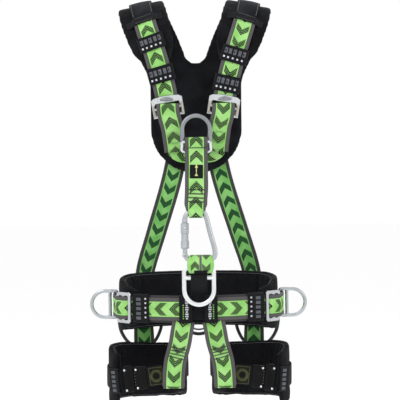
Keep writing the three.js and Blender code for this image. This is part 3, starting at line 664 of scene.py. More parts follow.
def seam(name, lines, material, dash=3.0, gap=1.3, radius=0.45):
    """Rows of sewn stitches: each line is a list of places on a surface, in millimetres."""
    verts, faces = [], []
    for line in lines:
        curve = Curve(line)
        count = max(1, round(curve.length / (dash + gap)))
        for i in range(count):
            start = curve.at((i + 0.12) / count)
            end = curve.at((i + 0.12 + dash / (dash + gap)) / count)
            axis = (end - start).normalized()
            first = axis.orthogonal().normalized()
            second = axis.cross(first)
            base = len(verts)
            for share, size in ((0.0, 0.35), (0.18, 1.0), (0.82, 1.0), (1.0, 0.35)):
                for k in range(5):
                    angle = 2 * math.pi * k / 5
                    ring = first * math.cos(angle) + second * math.sin(angle)
                    verts.append(start.lerp(end, share) + ring * radius * size)
            for level in range(3):
                for k in range(5):
                    a, b = base + level * 5 + k, base + level * 5 + (k + 1) % 5
                    faces.append((a, b, b + 5, a + 5))
            faces.append(tuple(base + k for k in range(5))[::-1])
            faces.append(tuple(base + 15 + k for k in range(5)))
    return new_object(name, verts, faces, [material])


def along_face(frames, across, lift):
    """A line of places on the outer face of a strap."""
    return [f.point + f.side * across + f.normal * lift for f in frames]


def ring_line(f, radius, lift, count=28):
    """A circle of places on a face."""
    places = []
    for i in range(count + 1):
        angle = 2 * math.pi * i / count
        places.append(f.point + f.side * radius * math.cos(angle) + f.tangent * radius * math.sin(angle)
                      + f.normal * lift)
    return places


def box_stitch(f, width, height, lift):
    """A sewn box with a cross in it."""
    def at(x, y):
        return f.point + f.side * x * width / 2 + f.tangent * y * height / 2 + f.normal * lift
    corners = [at(-1, -1), at(1, -1), at(1, 1), at(-1, 1)]
    sides = [[corners[i], (corners[i] + corners[(i + 1) % 4]) / 2, corners[(i + 1) % 4]] for i in range(4)]
    return sides + [[corners[0], f.point + f.normal * lift, corners[2]],
                    [corners[1], f.point + f.normal * lift, corners[3]]]


def band_outline(half, deep, corner, turns, shares):
    """An oblong ring of places with round corners, at turns of each corner and at shares of each long face."""
    places = []
    for cx, cy, start in ((half - corner, deep - corner, 0), (corner - half, deep - corner, 90),
                          (corner - half, corner - deep, 180), (half - corner, corner - deep, 270)):
        angles = [math.radians(start + t) for t in turns]
        places += [(cx + corner * math.cos(a), cy + corner * math.sin(a)) for a in angles]
        if start in (0, 180):
            way = 1 if start == 0 else -1
            places += [(t * (half - corner) * way, deep * way) for t in shares]
    return places


def band(name, f, width, depth, length, material, thickness, corner):
    """A flat elastic band that goes round a strap at one frame."""
    half, deep = (width - thickness) / 2, (depth - thickness) / 2
    outline = band_outline(half, deep, min(corner, deep * 0.95), (0, 45, 90), (0.85, 0.4, 0, -0.4, -0.85))
    points = [f.point + f.side * x + f.normal * y for x, y in outline]
    frames = flat_frames(points, f.tangent, step=2.0, closed=True)
    return loft(name, frames, box_section(length, thickness, 0.7, columns=5), [material], closed=True)


def disc(name, f, radius, lift, depth, material, segments=32, dome=0.4):
    """A low round patch or rivet head with a rounded edge."""
    verts, faces = [], []
    rings = [(radius, lift), (radius, lift + depth * 0.55), (radius * 0.9, lift + depth * 0.92),
             (radius * 0.6, lift + depth + dome * 0.6)]
    for r, out in rings:
        for i in range(segments):
            angle = 2 * math.pi * i / segments
            verts.append(f.point + f.side * r * math.cos(angle) + f.tangent * r * math.sin(angle) + f.normal
                         * out)
    verts.append(f.point + f.normal * (lift + depth + dome))
    for level in range(len(rings) - 1):
        for i in range(segments):
            j = (i + 1) % segments
            faces.append((level * segments + i, level * segments + j, (level + 1) * segments + j,
                          (level + 1) * segments + i))
    top = (len(rings) - 1) * segments
    faces += [(top + i, top + (i + 1) % segments, len(verts) - 1) for i in range(segments)]
    faces.append(tuple(range(segments))[::-1])
    return new_object(name, verts, faces, [material])


def pressed_on(body, slot, *objects):
    for obj in objects:
        finished(obj, body, slot)


# ------------------------------------------------------------------ finishes

PRINT = ("84c263", "a2d682", "081309")               # green, pale green and ink on the webbing's face
# inner faces: the same webbing with darker greens and a darker edge grey, painted shade on faces turned into the
# harness; their dark-green chevrons, printed more solid, are the webbing's reverse pattern
SHADED_INSIDE_PRINT = ("68ad57", "8ac673", "1f4d28")
EDGE, SHADE_EDGE = srgb("5c595a"), srgb("454243")

WEB = {forward: webbing("webbing_forward" if forward else "webbing_backward", PRINT, EDGE, forward)
       for forward in (True, False)}
WEB_SHADED_INSIDE = {forward: webbing("webbing_shaded_inside_forward" if forward else "webbing_shaded_inside_backward",
                               SHADED_INSIDE_PRINT, SHADE_EDGE, forward, solid=0.55)
              for forward in (True, False)}
BLACK_WEB = tape("black_webbing", "0b0c0e", "26272b", pitch=1.5)
GREY_WEB = tape("grey_webbing", "2e2c2e", "605c5e", pitch=1.5)
ELASTIC = tape("black_elastic", "0a0a0c", "242529", pitch=1.0)
PADDING = fabric("padding_cloth", "08080a", "1d1e22")
COVER = fabric("cover_cloth", "121316", "2d2e33", scale=480.0)
MESH_LINING = air_mesh("spacer_mesh", "070709", "1c1d21")
ALUMINIUM = metal("bright_aluminium", "dfe2e4", "a9adb1", (0.16, 0.34))
GREY_METAL = metal("grey_anodised", "9a9ea3", "6e7277", (0.3, 0.46))
STEEL = metal("zinc_steel", "c3c8cb", "868b90", (0.2, 0.38), brush=(0.3, 1.0, 1.0))
PLASTIC = moulded("buckle_plastic", "060607", "111214", rough=(0.5, 0.7), specular=0.14)
PLATE = moulded("guide_plate", "101113", "303236", rough=(0.4, 0.6))
RUBBER = moulded("rubber_cord", "1d1e20", "3d3f43", rough=(0.55, 0.75), bump=0.0002)
GREY_MARK = moulded("woven_grey_mark", "4d5056", "65686e", rough=(0.6, 0.8))
GREEN_MARK = moulded("woven_green_mark", "6fa850", "9ccc7c", rough=(0.6, 0.8))
WHITE_MARK = moulded("woven_white_mark", "b9bcc0", "e2e4e6", rough=(0.6, 0.8))
YELLOW_MARK = moulded("woven_yellow_mark", "c8cf86", "e3e8a8", rough=(0.6, 0.8))
OLIVE = fabric("olive_disc", "2c301d", "4c5134", scale=500.0)
OLIVE_DARK = fabric("olive_ground", "141610", "2a2d1f", scale=500.0)
THREAD_OLIVE = thread("olive_thread", "3c4127", "7c8352")
THREAD_BLACK = thread("black_thread", "0c0d0e", "3a3b3e")
THREAD_GREY = thread("grey_thread", "4e5054", "8c8e92")
THREAD_GREEN = thread("green_thread", "21401f", "4d7a3c")


def face_pair(forward):
    return [WEB[forward], WEB_SHADED_INSIDE[forward]]


# ------------------------------------------------------------------ shared lines of the shoulders

LOBE_POINTS = [(48, 103, 455), (62, 99, 505), (88, 78, 563), (108, 38, 607), (112, 0, 620),
               (109, -38, 607), (98, -74, 568), (82, -94, 518), (74, -98, 492)]
LOBE_NORMALS = [(0.1, 1, 0.1), (0.15, 1, 0.25), (0.2, 0.8, 0.6), (0.2, 0.4, 0.9), (0.2, 0, 1),
                (0.2, -0.4, 0.9), (0.2, -0.85, 0.45), (0.13, -1, 0.18), (0.1, -1, 0.1)]
LOBE_WIDTHS = [92, 94, 96, 98, 99, 99, 99, 99, 99, 100, 99, 95, 88, 56]
STRAP_LIFT = 11.0
ON_LOBE = (576, 558, 540, 524, 508)         # heights at which a shoulder strap lies on its lobe
SLEEVE_FRONT_Z, SLEEVE_BACK_Z = 580, 501
CROSS_BAND_Z = 575
KEEPERS = {"left": (503, 446), "right": (530, 466)}


def lobe_frames(sign):
    return frames_along(mirrored(LOBE_POINTS, sign), mirrored(LOBE_NORMALS, sign))


def front_of(frames):
    return [f for f in frames if f.point.y < -20]


def shoulder_frames(sign):
    front = front_of(lobe_frames(sign))
    on_lobe = [frame_at(front, z) for z in ON_LOBE]
    points = [f.point + f.normal * STRAP_LIFT for f in on_lobe]
    normals = [f.normal for f in on_lobe]
    points += mirrored([(66.5, -110, 460), (60.8, -107.8, 436), (56.5, -105, 412)], sign)
    normals += mirrored([(0.08, -1, 0), (0.04, -1, -0.05), (0, -1, -0.08)], sign)
    return frames_along(points, normals, 3.0)


# ------------------------------------------------------------------ yoke

YOKE_VOXEL = 0.0045
PAD_VOXEL = 0.0042


def yoke_back():
    """The panel behind the back, as a grid of places on its two faces."""
    columns, rows = 40, 30
    verts, faces = [], []
    for face in (1, -1):
        for j in range(rows + 1):
            up = j / rows
            for i in range(columns + 1):
                turn = (i / columns - 0.5) * math.pi
                half_width = 101 + up
                x = math.sin(turn) * half_width
                bottom = 274 + 101 * (1 - math.cos(turn))
                neck = 521 + 20 * min(1, (x / 38) ** 2)
                z = bottom + (neck - bottom) * up
                middle = 105 - x ** 2 / 900 - max(0, z - 470) ** 2 / 380
                rim = min(1, min(i, columns - i) / 3, min(j, rows - j) / 3)
                half = 3.2 + 3.0 * math.sqrt(rim)
                verts.append(Vector((x, middle + face * half, z)))
    size = columns + 1
    area = size * (rows + 1)
    for j in range(rows):
        for i in range(columns):
            a = j * size + i
            faces.append((a, a + 1, a + size + 1, a + size))
            faces.append(tuple(area + k for k in (a + size, a + size + 1, a + 1, a)))
    edge = list(range(size)) + [j * size + columns for j in range(1, rows + 1)]
    edge += [rows * size + i for i in range(columns - 1, -1, -1)] + [j * size for j in range(rows - 1, 0, -1)]
    for first, second in zip(edge, edge[1:] + edge[:1]):
        faces.append((first, second, area + second, area + first))
    return new_object("yoke_back", verts, faces, [PADDING])


def remeshed(obj, voxel, smooth=4, factor=0.5):
    """One closed skin of even small faces."""
    remesh = obj.modifiers.new("even_skin", "REMESH")
    remesh.mode = "VOXEL"
    remesh.voxel_size = voxel
    relax = obj.modifiers.new("relaxed", "SMOOTH")
    relax.iterations = smooth
    relax.factor = factor
    apply_modifiers(obj)
    return obj


def apply_modifiers(obj):
    bpy.context.view_layer.update()
    made = bpy.data.meshes.new_from_object(obj.evaluated_get(bpy.context.evaluated_depsgraph_get()))
    old = obj.data
    obj.modifiers.clear()
    obj.data = made
    made.name = obj.name
    bpy.data.meshes.remove(old)
    made.polygons.foreach_set("use_smooth", [True] * len(made.polygons))


def under_back_strap(place):
    """Whether a place on the yoke lies under a back strap, which leans outwards as it goes down."""
    (top_x, _, top_z), (low_x, _, low_z) = BACK_POINTS[:2]
    middle = top_x + (low_x - top_x) * (top_z - place.z) / (top_z - low_z)
    return place.y > 104 and place.z < top_z + 8 and abs(abs(place.x) - middle) < 26


def under_shoulder_strap(place, lobes):
    """Whether a place on the yoke lies in front under a shoulder strap or one of its keepers."""
    if place.y > -30:
        return False
    f = nearest(lobes[place.x > 0], lambda frame: (frame.point - place).length_squared)
    away = place - f.point
    return away.dot(f.normal) > 0 and abs(away.dot(f.side)) < 30


def build_yoke():
    pieces = [yoke_back()]
    for name, sign in SIDES:
        widths = stepped(LOBE_WIDTHS)
        pieces.append(loft(f"{name}_lobe", lobe_frames(sign),
                           lambda a: box_section(widths(a), 10.5, 4.5, columns=8, crown=1.0), [PADDING]))
    yoke = joined("back_yoke", pieces)
    remeshed(yoke, YOKE_VOXEL)
    lobes = {True: front_of(lobe_frames(1)), False: front_of(lobe_frames(-1))}
    puffed(yoke, pressure=3.2, cap=3.4,
           pinned=lambda place: under_back_strap(place) or under_shoulder_strap(place, lobes))
    finished(yoke, "root", "padding", "back_yoke_pad")


SLIDE_CAP, SINK_CAP = 1.2, 0.8


def puffed(obj, pressure, cap, pinned=None):
    """A short cloth simulation that fills a padded piece and lets its cover crease. Its movement is held to a cap
    in millimetres, and places that pinned picks out stay where they are sewn."""
    before = np.array([v.co for v in obj.data.vertices], float)
    if pinned:
        group = obj.vertex_groups.new(name="sewn")
        group.add([v.index for v in obj.data.vertices if pinned(v.co / MM)], 1.0, "REPLACE")
    cloth = obj.modifiers.new("filling", "CLOTH")
    settings = cloth.settings
    settings.quality = 6
    settings.mass = 0.3
    settings.tension_stiffness = 12
    settings.compression_stiffness = 6
    settings.bending_stiffness = 0.3
    settings.use_pressure = True
    settings.uniform_pressure_force = pressure
    settings.shrink_min = -0.015
    settings.effector_weights.gravity = 0
    if pinned:
        settings.vertex_group_mass = "sewn"
    cloth.point_cache.frame_start = 1
    cloth.point_cache.frame_end = 20
    scene = bpy.context.scene
    for number in range(1, 21):
        scene.frame_set(number)
    depsgraph = bpy.context.evaluated_depsgraph_get()
    held = obj.evaluated_get(depsgraph).data
    after = np.array([v.co for v in held.vertices], float)
    normals = np.array([v.normal for v in obj.data.vertices], float)
    moved = after - before
    outward = np.sum(moved * normals, axis=1, keepdims=True)
    sideways = moved - normals * outward
    slid = np.linalg.norm(sideways, axis=1, keepdims=True)
    sideways *= np.minimum(1.0, SLIDE_CAP * MM / np.maximum(slid, 1e-9))
    moved = normals * np.clip(outward, -SINK_CAP * MM, cap * MM) + sideways
    obj.modifiers.clear()
    obj.vertex_groups.clear()
    scene.frame_set(1)
    obj.data.vertices.foreach_set("co", (before + moved).ravel())
    obj.data.update()
    fine = obj.modifiers.new("fine", "SUBSURF")
    fine.levels = fine.render_levels = 1
    apply_modifiers(obj)


# ------------------------------------------------------------------ shoulders and chest

ADJUSTER = Vector((55, -116, 399))
ADJUSTER_LEAN = math.radians(9)


def on_adjuster(x, y, z, sign):
    """A place in the adjuster's own tilted frame."""
    c, s = math.cos(ADJUSTER_LEAN), math.sin(ADJUSTER_LEAN)
    return Vector(((ADJUSTER.x + x * c + z * s) * sign, ADJUSTER.y + y, ADJUSTER.z - x * s + z * c))


def brand_free_marks(name, f, lift, body):
    """Generic woven marks: a row of grey bars over a row of small pale dashes."""
    bars = [(x, 4.5, 6.2, 11.0) for x in (-18.5, -9.5, 0.5, 10.0, 18.5)]
    notches = [(x + 1.0, 4.5, 2.0, 4.6) for x in (-18.5, 0.5, 18.5)]
    dashes = [(x, -8.5, 3.6, 3.8) for x in (-17, -7.5, 2, 11.5, 20)]
    pressed_on(body, "elastic",
               boxes(f"{name}_grey_marks", f, bars, lift, 0.35, [GREY_MARK]),
               boxes(f"{name}_mark_notches", f, notches, lift + 0.3, 0.2, [ELASTIC]),
               boxes(f"{name}_pale_marks", f, dashes, lift, 0.35, [WHITE_MARK]))


def build_shoulder(name, sign):
    forward = name == "left"
    frames = shoulder_frames(sign)
    body = strap(f"{name}_shoulder_strap", frames, face_pair(forward))
    finished(body, "root", "green_webbing", f"{name}_shoulder_strap")
    # sleeve over the top of the lobe
    covered = [f
               for f in lobe_frames(sign) if f.point.z > (SLEEVE_FRONT_Z if f.point.y < 0 else SLEEVE_BACK_Z)]
    widths = stepped([44, 47, 48, 48, 48, 48, 48, 46, 42])
    sleeve = loft(f"{name}_shoulder_sleeve", covered,
                  lambda a: box_section(widths(a), 4.4, 2.1, columns=8, crown=1.4), [COVER], lift=8.4)
    finished(sleeve, "root", "cover_fabric", f"{name}_shoulder_sleeve")
    rows = [along_face(covered[2:-2], side * 19.5, 11.3) for side in (-1, 1)]
    pressed_on("root", "cover_fabric", seam(f"{name}_sleeve_stitches", rows, THREAD_GREY))
    # the cross band that holds the strap's upper end
    front = front_of(lobe_frames(sign))
    f = frame_at(front, CROSS_BAND_Z)
    cross = strap(f"{name}_cross_band", cross_frames(f, 76), [ELASTIC], width=18, thickness=2.0, wave=0)
    pressed_on("root", "black_webbing", cross)
    rows = [ring_row(f, 36, along, 15.2) for along in (-6.5, 6.5)]
    pressed_on("root", "black_webbing",
               seam(f"{name}_cross_band_stitches", rows, THREAD_GREY, dash=2.4, gap=1.2, radius=0.35))
    # elastic keepers
    upper, lower = KEEPERS[name]
    for level, z in (("upper", upper), ("lower", lower)):
        place = frame_at(frames, z)
        owner = f"{name}_{level}_shoulder_keeper"
        piece = band(owner + "_band", place, 54, 8.2, 33, ELASTIC, thickness=1.7, corner=3.4)
        finished(piece, owner, "elastic", owner)
        brand_free_marks(owner, turned(place, 180), 4.2, owner)


def cross_frames(f, width):
    """Frames across a lobe, over the strap in its middle."""
    lifts = [(-0.5, 6.6), (-0.42, 6.9), (-0.33, 10.4), (-0.27, 13.6), (0, 14.0), (0.27, 13.6), (0.33, 10.4),
             (0.42, 6.9), (0.5, 6.6)]
    return facing_frames([f.point + f.side * width * a + f.normal * n for a, n in lifts], f.tangent, f.normal)


def ring_row(f, width, along, lift):
    return [f.point + f.side * width * (i / 8 - 0.5) + f.tangent * along + f.normal * lift for i in range(9)]


def build_adjuster(name, sign):
    dress(f"{name}_adjuster_frame", ALUMINIUM, bevel=0.9)
    centre = Frame(on_adjuster(0, 3, 17.8, sign), Vector((0, 0, 1)), Vector((1, 0, 0)), Vector((0, -1, 0)), 0)
    dimple = boxes_lens(f"{name}_adjuster_dimple", centre, 13.5, 4.2, 0.6, GREY_METAL)
    pressed_on(f"{name}_adjuster_frame", "aluminium", dimple)
    bar = tube(f"{name}_adjuster_rod", [on_adjuster(x, 0, 0, sign) for x in (-27.5, -10, 10, 27.5)], 2.75,
               STEEL)
    pins = []
    for x in (-27.5, 27.5):
        ends = [on_adjuster(x, 0, z, sign) for z in (-14, -8, 2, 8)]
        pins.append(tube(f"{name}_pin", ends, 2.9, PIN_METAL, sides=16))
    finished(joined(f"{name}_adjuster_crosspiece", [bar, *pins]), f"{name}_adjuster_bar", "steel",
             f"{name}_adjuster_bar")


def boxes_lens(name, f, half_wide, half_high, lift, material):
    """A shallow lens-shaped pressing on a face."""
    verts, count = [], 24
    for scale, out in ((1.0, lift), (0.8, lift + 0.35), (0.4, lift + 0.5)):
        for i in range(count):
            angle = 2 * math.pi * i / count
            x, y = half_wide * scale * math.cos(angle), half_high * scale * math.sin(angle)
            verts.append(f.point + f.side * x + f.tangent * (y - 1.2 * (x / half_wide) ** 2) + f.normal * out)
    faces = []
    for level in (0, 1):
        for i in range(count):
            j = (i + 1) % count
            faces.append((level * count + i, level * count + j, (level + 1) * count + j,
                          (level + 1) * count + i))
    faces.append(tuple(2 * count + i for i in range(count)))
    faces.append(tuple(range(count))[::-1])
    return new_object(name, verts, faces, [material])


def build_chest(name, sign):
    forward = name == "left"
    # round the adjuster's bar, and down the chest
    turn = round_bar(ADJUSTER.x * sign, ADJUSTER.y, ADJUSTER.z, 7.0, (-70, -20, 30, 80, 130, 180))
    fall = mirrored([(54.2, -121.5, 390), (51.8, -117, 378), (48, -112, 364), (44.5, -103, 342),
                     (42, -97, 322), (41.3, -95.5, 313)], sign)
    frames = level_frames(turn + fall)
    main = strap(f"{name}_chest_strap", frames, face_pair(forward), thickness=3.0)
    # a second layer, which folds inwards under the first and goes to the breastbone
    tail_points = mirrored([(56, -91, 313), (42, -91, 309), (24, -91.5, 306), (2, -92, 306)], sign)
    grows = stepped([10, 22, 29, 30, 30, 30])
    tail = strap(f"{name}_chest_tail", frames_along(tail_points, [(0, -1, 0)]), face_pair(sign > 0),
                 width=grows, thickness=3.0)
    finished(joined(f"{name}_chest_straps", [main, tail]), "root", "green_webbing", f"{name}_chest_strap")
    # sewn circle and the seams across the strap
    place = frame_at(frames[12:], 341)
    circles = [ring_line(place, 12.8, 1.9), ring_line(place, 11.2, 1.9)]
    across = [ring_row(frame_at(frames[12:], z), 40, 0, 1.95) for z in (368, 317)]
    sewn = seam(f"{name}_chest_stitches", circles + across, THREAD_GREEN, dash=2.2, gap=0.9, radius=0.5)
    pressed_on("root", "green_webbing", sewn)


def round_bar(x, y, z, radius, angles):
    """Places round a level bar, in Y and Z; the angle is 0 at +Y and 90 upwards."""
    turns = [math.radians(degrees) for degrees in angles]
    return [Vector((x, y + math.cos(a) * radius, z + math.sin(a) * radius)) for a in turns]


def arc(centre_x, centre_z, radius, first, last, count, y=0.0):
    """Places on an arc in X and Z; the angle is 0 at +X and 90 upwards."""
    places = []
    for i in range(count + 1):
        angle = math.radians(first + (last - first) * i / count)
        places.append((centre_x + radius * math.cos(angle), y, centre_z + radius * math.sin(angle)))
    return places


def bent_ring(name, points, section, material):
    """A closed ring bent from one bar, upright and facing forwards."""
    return loft(name, flat_frames(points, (0, 1, 0), 2.0, closed=True), section, [material], closed=True)


def tack_rows(frames, heights, width, lift):
    """Three close rows of stitches across a strap at each height."""
    return [ring_row(frame_at(frames, z), width, along, lift) for z in heights for along in (-0.9, 0.0, 0.9)]


def build_sternal():
    y, cross_z, bow_z = -121, 331, 355
    middle = 27.5
    bow_points = [(middle, y, cross_z - 1), (middle, y, cross_z + 10), *arc(0, bow_z, middle, 0, 180, 14, y),
                  (-middle, y, cross_z + 10), (-middle, y, cross_z - 1)]
    bow = loft("sternal_bow", flat_frames(bow_points, (0, 1, 0)), round_section(3.0, 4.0, 20, 2.8),
               [GREY_METAL])
    bar = tube("sternal_bar", [(x, y, cross_z) for x in (-middle, -9, 9, middle)], 3.3, ALUMINIUM)
    lean = math.radians(32)
    lower = []
    for x, depth in ((-middle, 1), (-middle, -8), (-middle, -19), (-23, -21.5), (0, -21.5), (23, -21.5),
                     (middle, -19), (middle, -8), (middle, 1)):
        lower.append((x, y - depth * math.sin(lean), cross_z + depth * math.cos(lean)))
    plane = Vector((0, math.cos(lean), math.sin(lean)))
    frame_loop = loft("sternal_lower", flat_frames(lower, plane), round_section(3.0, 3.9, 20, 3.0),
                      [ALUMINIUM])
    ring = joined("sternal_dee", [bow, bar, frame_loop])
    finished(ring, "sternal_ring", "aluminium", "sternal_ring")

    # webbing: from behind, over the bar, and down to the carabiner
    turn = round_bar(0, y, cross_z, 7.6, (-60, -10, 40, 90, 140, 180))
    down = [(0, y - 6.6, 322), (0, -124.0, 300), (-0.5, -129.5, 262), (-1, -132.5, 232), (-2, -135.8, 214),
            (-2.5, -140.3, 203)]
    eye = round_bar(-2.5, CARABINER_Y, 191, 8.6, (205, 240, 270, 300, 335))
    loop = [(-2.5, -140.8, 197), *eye, (-2.5, -123.4, 197)]
    back = [(-2.5, -125, 206), (-2, -126.2, 216), (0, -122.5, 240), (0, -117.5, 268), (0, -114.5, 300),
            (0, -113.5, 322)]
    frames = level_frames(turn + down + loop + back)
    if next(f for f in frames if f.point.z < 280).normal.y > 0:
        frames = flipped(frames)

    def width(along):
        z = frames[min(len(frames) - 1, int(along * (len(frames) - 1)))].point.z
        return 27 + 18 * min(1, max(0, (z - 190) / 17)) ** 0.7

    main = strap("sternal_strap", frames, face_pair(False), width=width, thickness=3.2)
    finished(main, "root", "green_webbing", "sternal_strap")
    front = [f for f in frames if f.normal.y < -0.3 and f.point.y < -121]
    core = []
    for z in (318, 290, 260, 236, 216):
        outer = frame_at(front, z)
        core.append((outer.point.x, outer.point.y + 4.8, z))
    filling = strap("sternal_strap_core", frames_along(core, [(0, -1, 0)]), [GREY_WEB], width=41,
                    thickness=5.0)
    pressed_on("root", "green_webbing", filling)
    # label, bar tacks and the line under the roll
    label = [f for f in front if 256 <= f.point.z <= 285.5]
    pressed_on("root", "cover_fabric",
               strap("sternal_label", label, [ELASTIC], width=26, thickness=0.9, edge=0.3, lift=2.0, wave=0))
    place = frame_at(front, 272)
    up = place._replace(tangent=Vector((0, 0, 1)) if place.tangent.z > 0 else -place.tangent)
    arrow = [(0, 3.0, 1.6, 11.0), (0, 10.0, 3.8, 2.2), (0, 12.0, 2.2, 2.0), (0, 8.0, 5.6, 2.0),
             (0, -8.5, 6.0, 1.6), (0, -6.4, 4.0, 1.6), (0, -4.4, 2.0, 1.6)]
    pressed_on("root", "cover_fabric", boxes("sternal_label_marks", up, arrow, 2.5, 0.3, [YELLOW_MARK]))
    tacks = tack_rows(front, (236, 228, 220), 33, 2.0) + tack_rows(front, (212,), 30, 2.0)
    pressed_on("root", "green_webbing",
               seam("sternal_bar_tacks", tacks, THREAD_BLACK, dash=2.0, gap=0.4, radius=0.55))
    f = frame_at(front, 319)
    pressed_on("root", "green_webbing",
               seam("sternal_roll_seam", [ring_row(f, 42, a, 1.9) for a in (-0.8, 0.5)], THREAD_BLACK,
                    dash=2.4, gap=0.5, radius=0.6))


PIN_METAL = metal("brushed_pin", "b9b3a6", "8a8478", (0.3, 0.45))


# ------------------------------------------------------------------ carabiner, link and ventral ring

GATE_X, CARABINER_Y = -24.6, -132.0


def build_carabiner():
    outline = [(GATE_X, 174), (-23.6, 182), (-17, 192), (-8, 196), (5, 196), (13, 192), (17, 184), (25, 152),
               (34, 116), (33.5, 107), (27, 99.5), (5, 99.5), (-12, 99.5), (-19, 101), (-24, 107.5)]
    points = [(x, CARABINER_Y, z) for x, z in outline]
    body = loft("carabiner_bow", flat_frames(points, (0, 1, 0), 2.0), round_section(5.5, 5.0, 20, 2.5),
                [STEEL])
    ends = [tube("carabiner_nose", [(GATE_X, CARABINER_Y, z) for z in (171.5, 175, 178)], 5.6, STEEL),
            tube("carabiner_hinge_eye", [(GATE_X, CARABINER_Y, z) for z in (105, 107, 109.5)], 5.4, STEEL)]
    finished(joined("carabiner_frame", [body, *ends]), "carabiner_body", "steel", "carabiner_body")
    pin = tube("carabiner_hinge_pin", [(GATE_X, CARABINER_Y + y, 107.4) for y in (-6.0, 0, 6.0)], 1.9,
               GREY_METAL)
    pressed_on("carabiner_body", "steel", pin)

    gate = tube("carabiner_gate_rod", [(GATE_X, CARABINER_Y, z) for z in (111, 125, 150, 168)], 4.5, STEEL,
                sides=20)
    finished(gate, "carabiner_gate", "steel", "carabiner_gate")
    dress("carabiner_sleeve", SLEEVE_METAL, bevel=0.4)
    dress("carabiner_lock_ball", ALUMINIUM, bevel=0)


def knurled(name, base, dark):
    """Turned steel with a crossed knurl on its skin."""
    shader = Shader(name, roughness=0.35, metallic=1.0)
    split = shader.tree.nodes.new("ShaderNodeSeparateXYZ")
    shader.tree.links.new(shader.place, split.inputs[0])
    around = shader.math("ARCTAN2", shader.math("SUBTRACT", split.outputs[1], CARABINER_Y * MM),
                         shader.math("SUBTRACT", split.outputs[0], GATE_X * MM))
    up = shader.times(split.outputs[2], 2 * math.pi / 0.0026)
    turn = shader.times(around, 20.0)
    one = shader.math("SINE", shader.plus(up, turn))
    other = shader.math("SINE", shader.math("SUBTRACT", up, turn))
    height = shader.plus(shader.times(one, other), shader.times(shader.noise(300.0, 2.0), 0.3))
    shader.color(shader.mix(shader.step(height, -0.6, 0.6), dark, base))
    shader.bump(height, 0.00018)
    shader.roughness(shader.noise(120.0, 3.0), 0.26, 0.45)
    return shader.material


SLEEVE_METAL = knurled("knurled_steel", "c0c4c8", "8b9095")

LINK_X, LINK_LOW, LINK_HIGH = 5.5, 75.3, 105.5


def split_webbing():
    """The link's webbing: green on each side of a grey stripe, with chevrons that point opposite ways."""
    shader = Shader("link_webbing", roughness=0.72, sheen=0.15, specular=0.3)
    across, along = shader.flat()
    width = shader.math("ABSOLUTE", across)
    off_centre = shader.math("ABSOLUTE", shader.math("SUBTRACT", width, LINK_GREEN_MIDDLE))
    sense = shader.math("SIGN", across)
    middle = chevrons(shader, along, sense, off_centre, LINK_CHEVRON, across, PRINT)
    shader.color(shader.mix(shader.step(width, 2.0, 2.5), EDGE, middle))
    shader.bump(weave_height(shader, across, along, 1.5), 0.00022)
    return shader.material


def build_link():
    y = CARABINER_Y
    corners = []
    half, middle = 9.0, (LINK_LOW + LINK_HIGH) / 2
    reach = (LINK_HIGH - LINK_LOW) / 2 + 1.5
    for cy, cz, start in ((-half + 7, reach - 7, 90), (-half + 7, 7 - reach, 180), (half - 7, 7 - reach, 270),
                          (half - 7, reach - 7, 0)):
        for step in (0, 30, 60, 90):
            angle = math.radians(start + step)
            corners.append((LINK_X, y + cy + 7 * math.cos(angle), middle + cz + 7 * math.sin(angle)))
    frames = flat_frames(corners, (1, 0, 0), 2.0, closed=True)
    out = frames[0].point - Vector((LINK_X, y, middle))
    if frames[0].normal.dot(out) < 0:
        frames = flipped(frames)

    def section(along):
        height = (frames[int(along * len(frames)) % len(frames)].point.z - LINK_LOW) / (LINK_HIGH - LINK_LOW)
        return box_section(42 + 11 * max(0, math.sin(math.pi * min(1, max(0, height * 0.85 + 0.1)))) ** 0.8,
                           3.0, 1.2)

    link = loft("ventral_webbing_link", frames, section, [split_webbing(), WEB_SHADED_INSIDE[True]], closed=True)
    finished(link, "ventral_link", "green_webbing", "ventral_link")
    wrap_frames = [f for f in frames if f.point.z < LINK_LOW + 4]
    pressed_on("ventral_link", "black_webbing",
               strap("link_lower_wrap", wrap_frames, [ELASTIC], width=26, thickness=1.2, edge=0.5, lift=1.6,
                     wave=0))


def build_ventral_ring():
    x, y, cross_z, top_z, bow_z, middle = 2, -132, 63.5, 83, 40, 29
    corner = 9
    points = [(x + px, y, pz) for px, pz in
              [(middle, 50), (middle, 66), (middle, top_z - corner)]]
    points += arc(x + middle - corner, top_z - corner, corner, 15, 90, 4, y)
    points += [(x + px, y, top_z) for px in (10, 0, -10)]
    points += arc(x - middle + corner, top_z - corner, corner, 90, 165, 4, y)
    points += [(x - middle, y, pz) for pz in (top_z - corner, 66, 50)]
    points += arc(x, bow_z, middle, 180, 360, 14, y)
    ring = bent_ring("ventral_outer", points, round_section(4.0, 4.5, 20, 3.0), BRIGHT)
    bar = tube("ventral_bar", [(x + px, y, cross_z) for px in (-27, -9, 9, 27)], 4.3, BRIGHT, sides=18)
    finished(joined("ventral_dee", [ring, bar]), "ventral_ring", "aluminium", "ventral_ring")

    turn = round_bar(x, y, cross_z, 6.9, (-50, 0, 50, 100, 150, 190))
    down = [(x, -136, 54), (x, -128, 46), (x, -119, 38), (x, -112.5, 30), (x, -110, 20), (x, -109, 4),
            (x, -108.5, -22)]
    frames = level_frames(turn + down)
    bridge = strap("bridge_strap_webbing", frames, [BLACK_WEB], width=32, thickness=3.0)
    finished(bridge, "root", "black_webbing", "bridge_strap")
    label = [f for f in frames if -12 < f.point.z < 14 and f.point.y > -112]
    pressed_on("root", "black_webbing",
               strap("bridge_label", label, [ELASTIC], width=28, thickness=0.8, edge=0.3, lift=2.0, wave=0))


BRIGHT = metal("bright_forged_aluminium", "f0f2f3", "c6c9cc", (0.22, 0.38))


# ------------------------------------------------------------------ waist

WAIST_X, WAIST_Y = 177.5, 117.0
PAD_X, PAD_Y = 160, 108
BUCKLE_ANGLE, BELT_PER_DEGREE = 56, 2.72


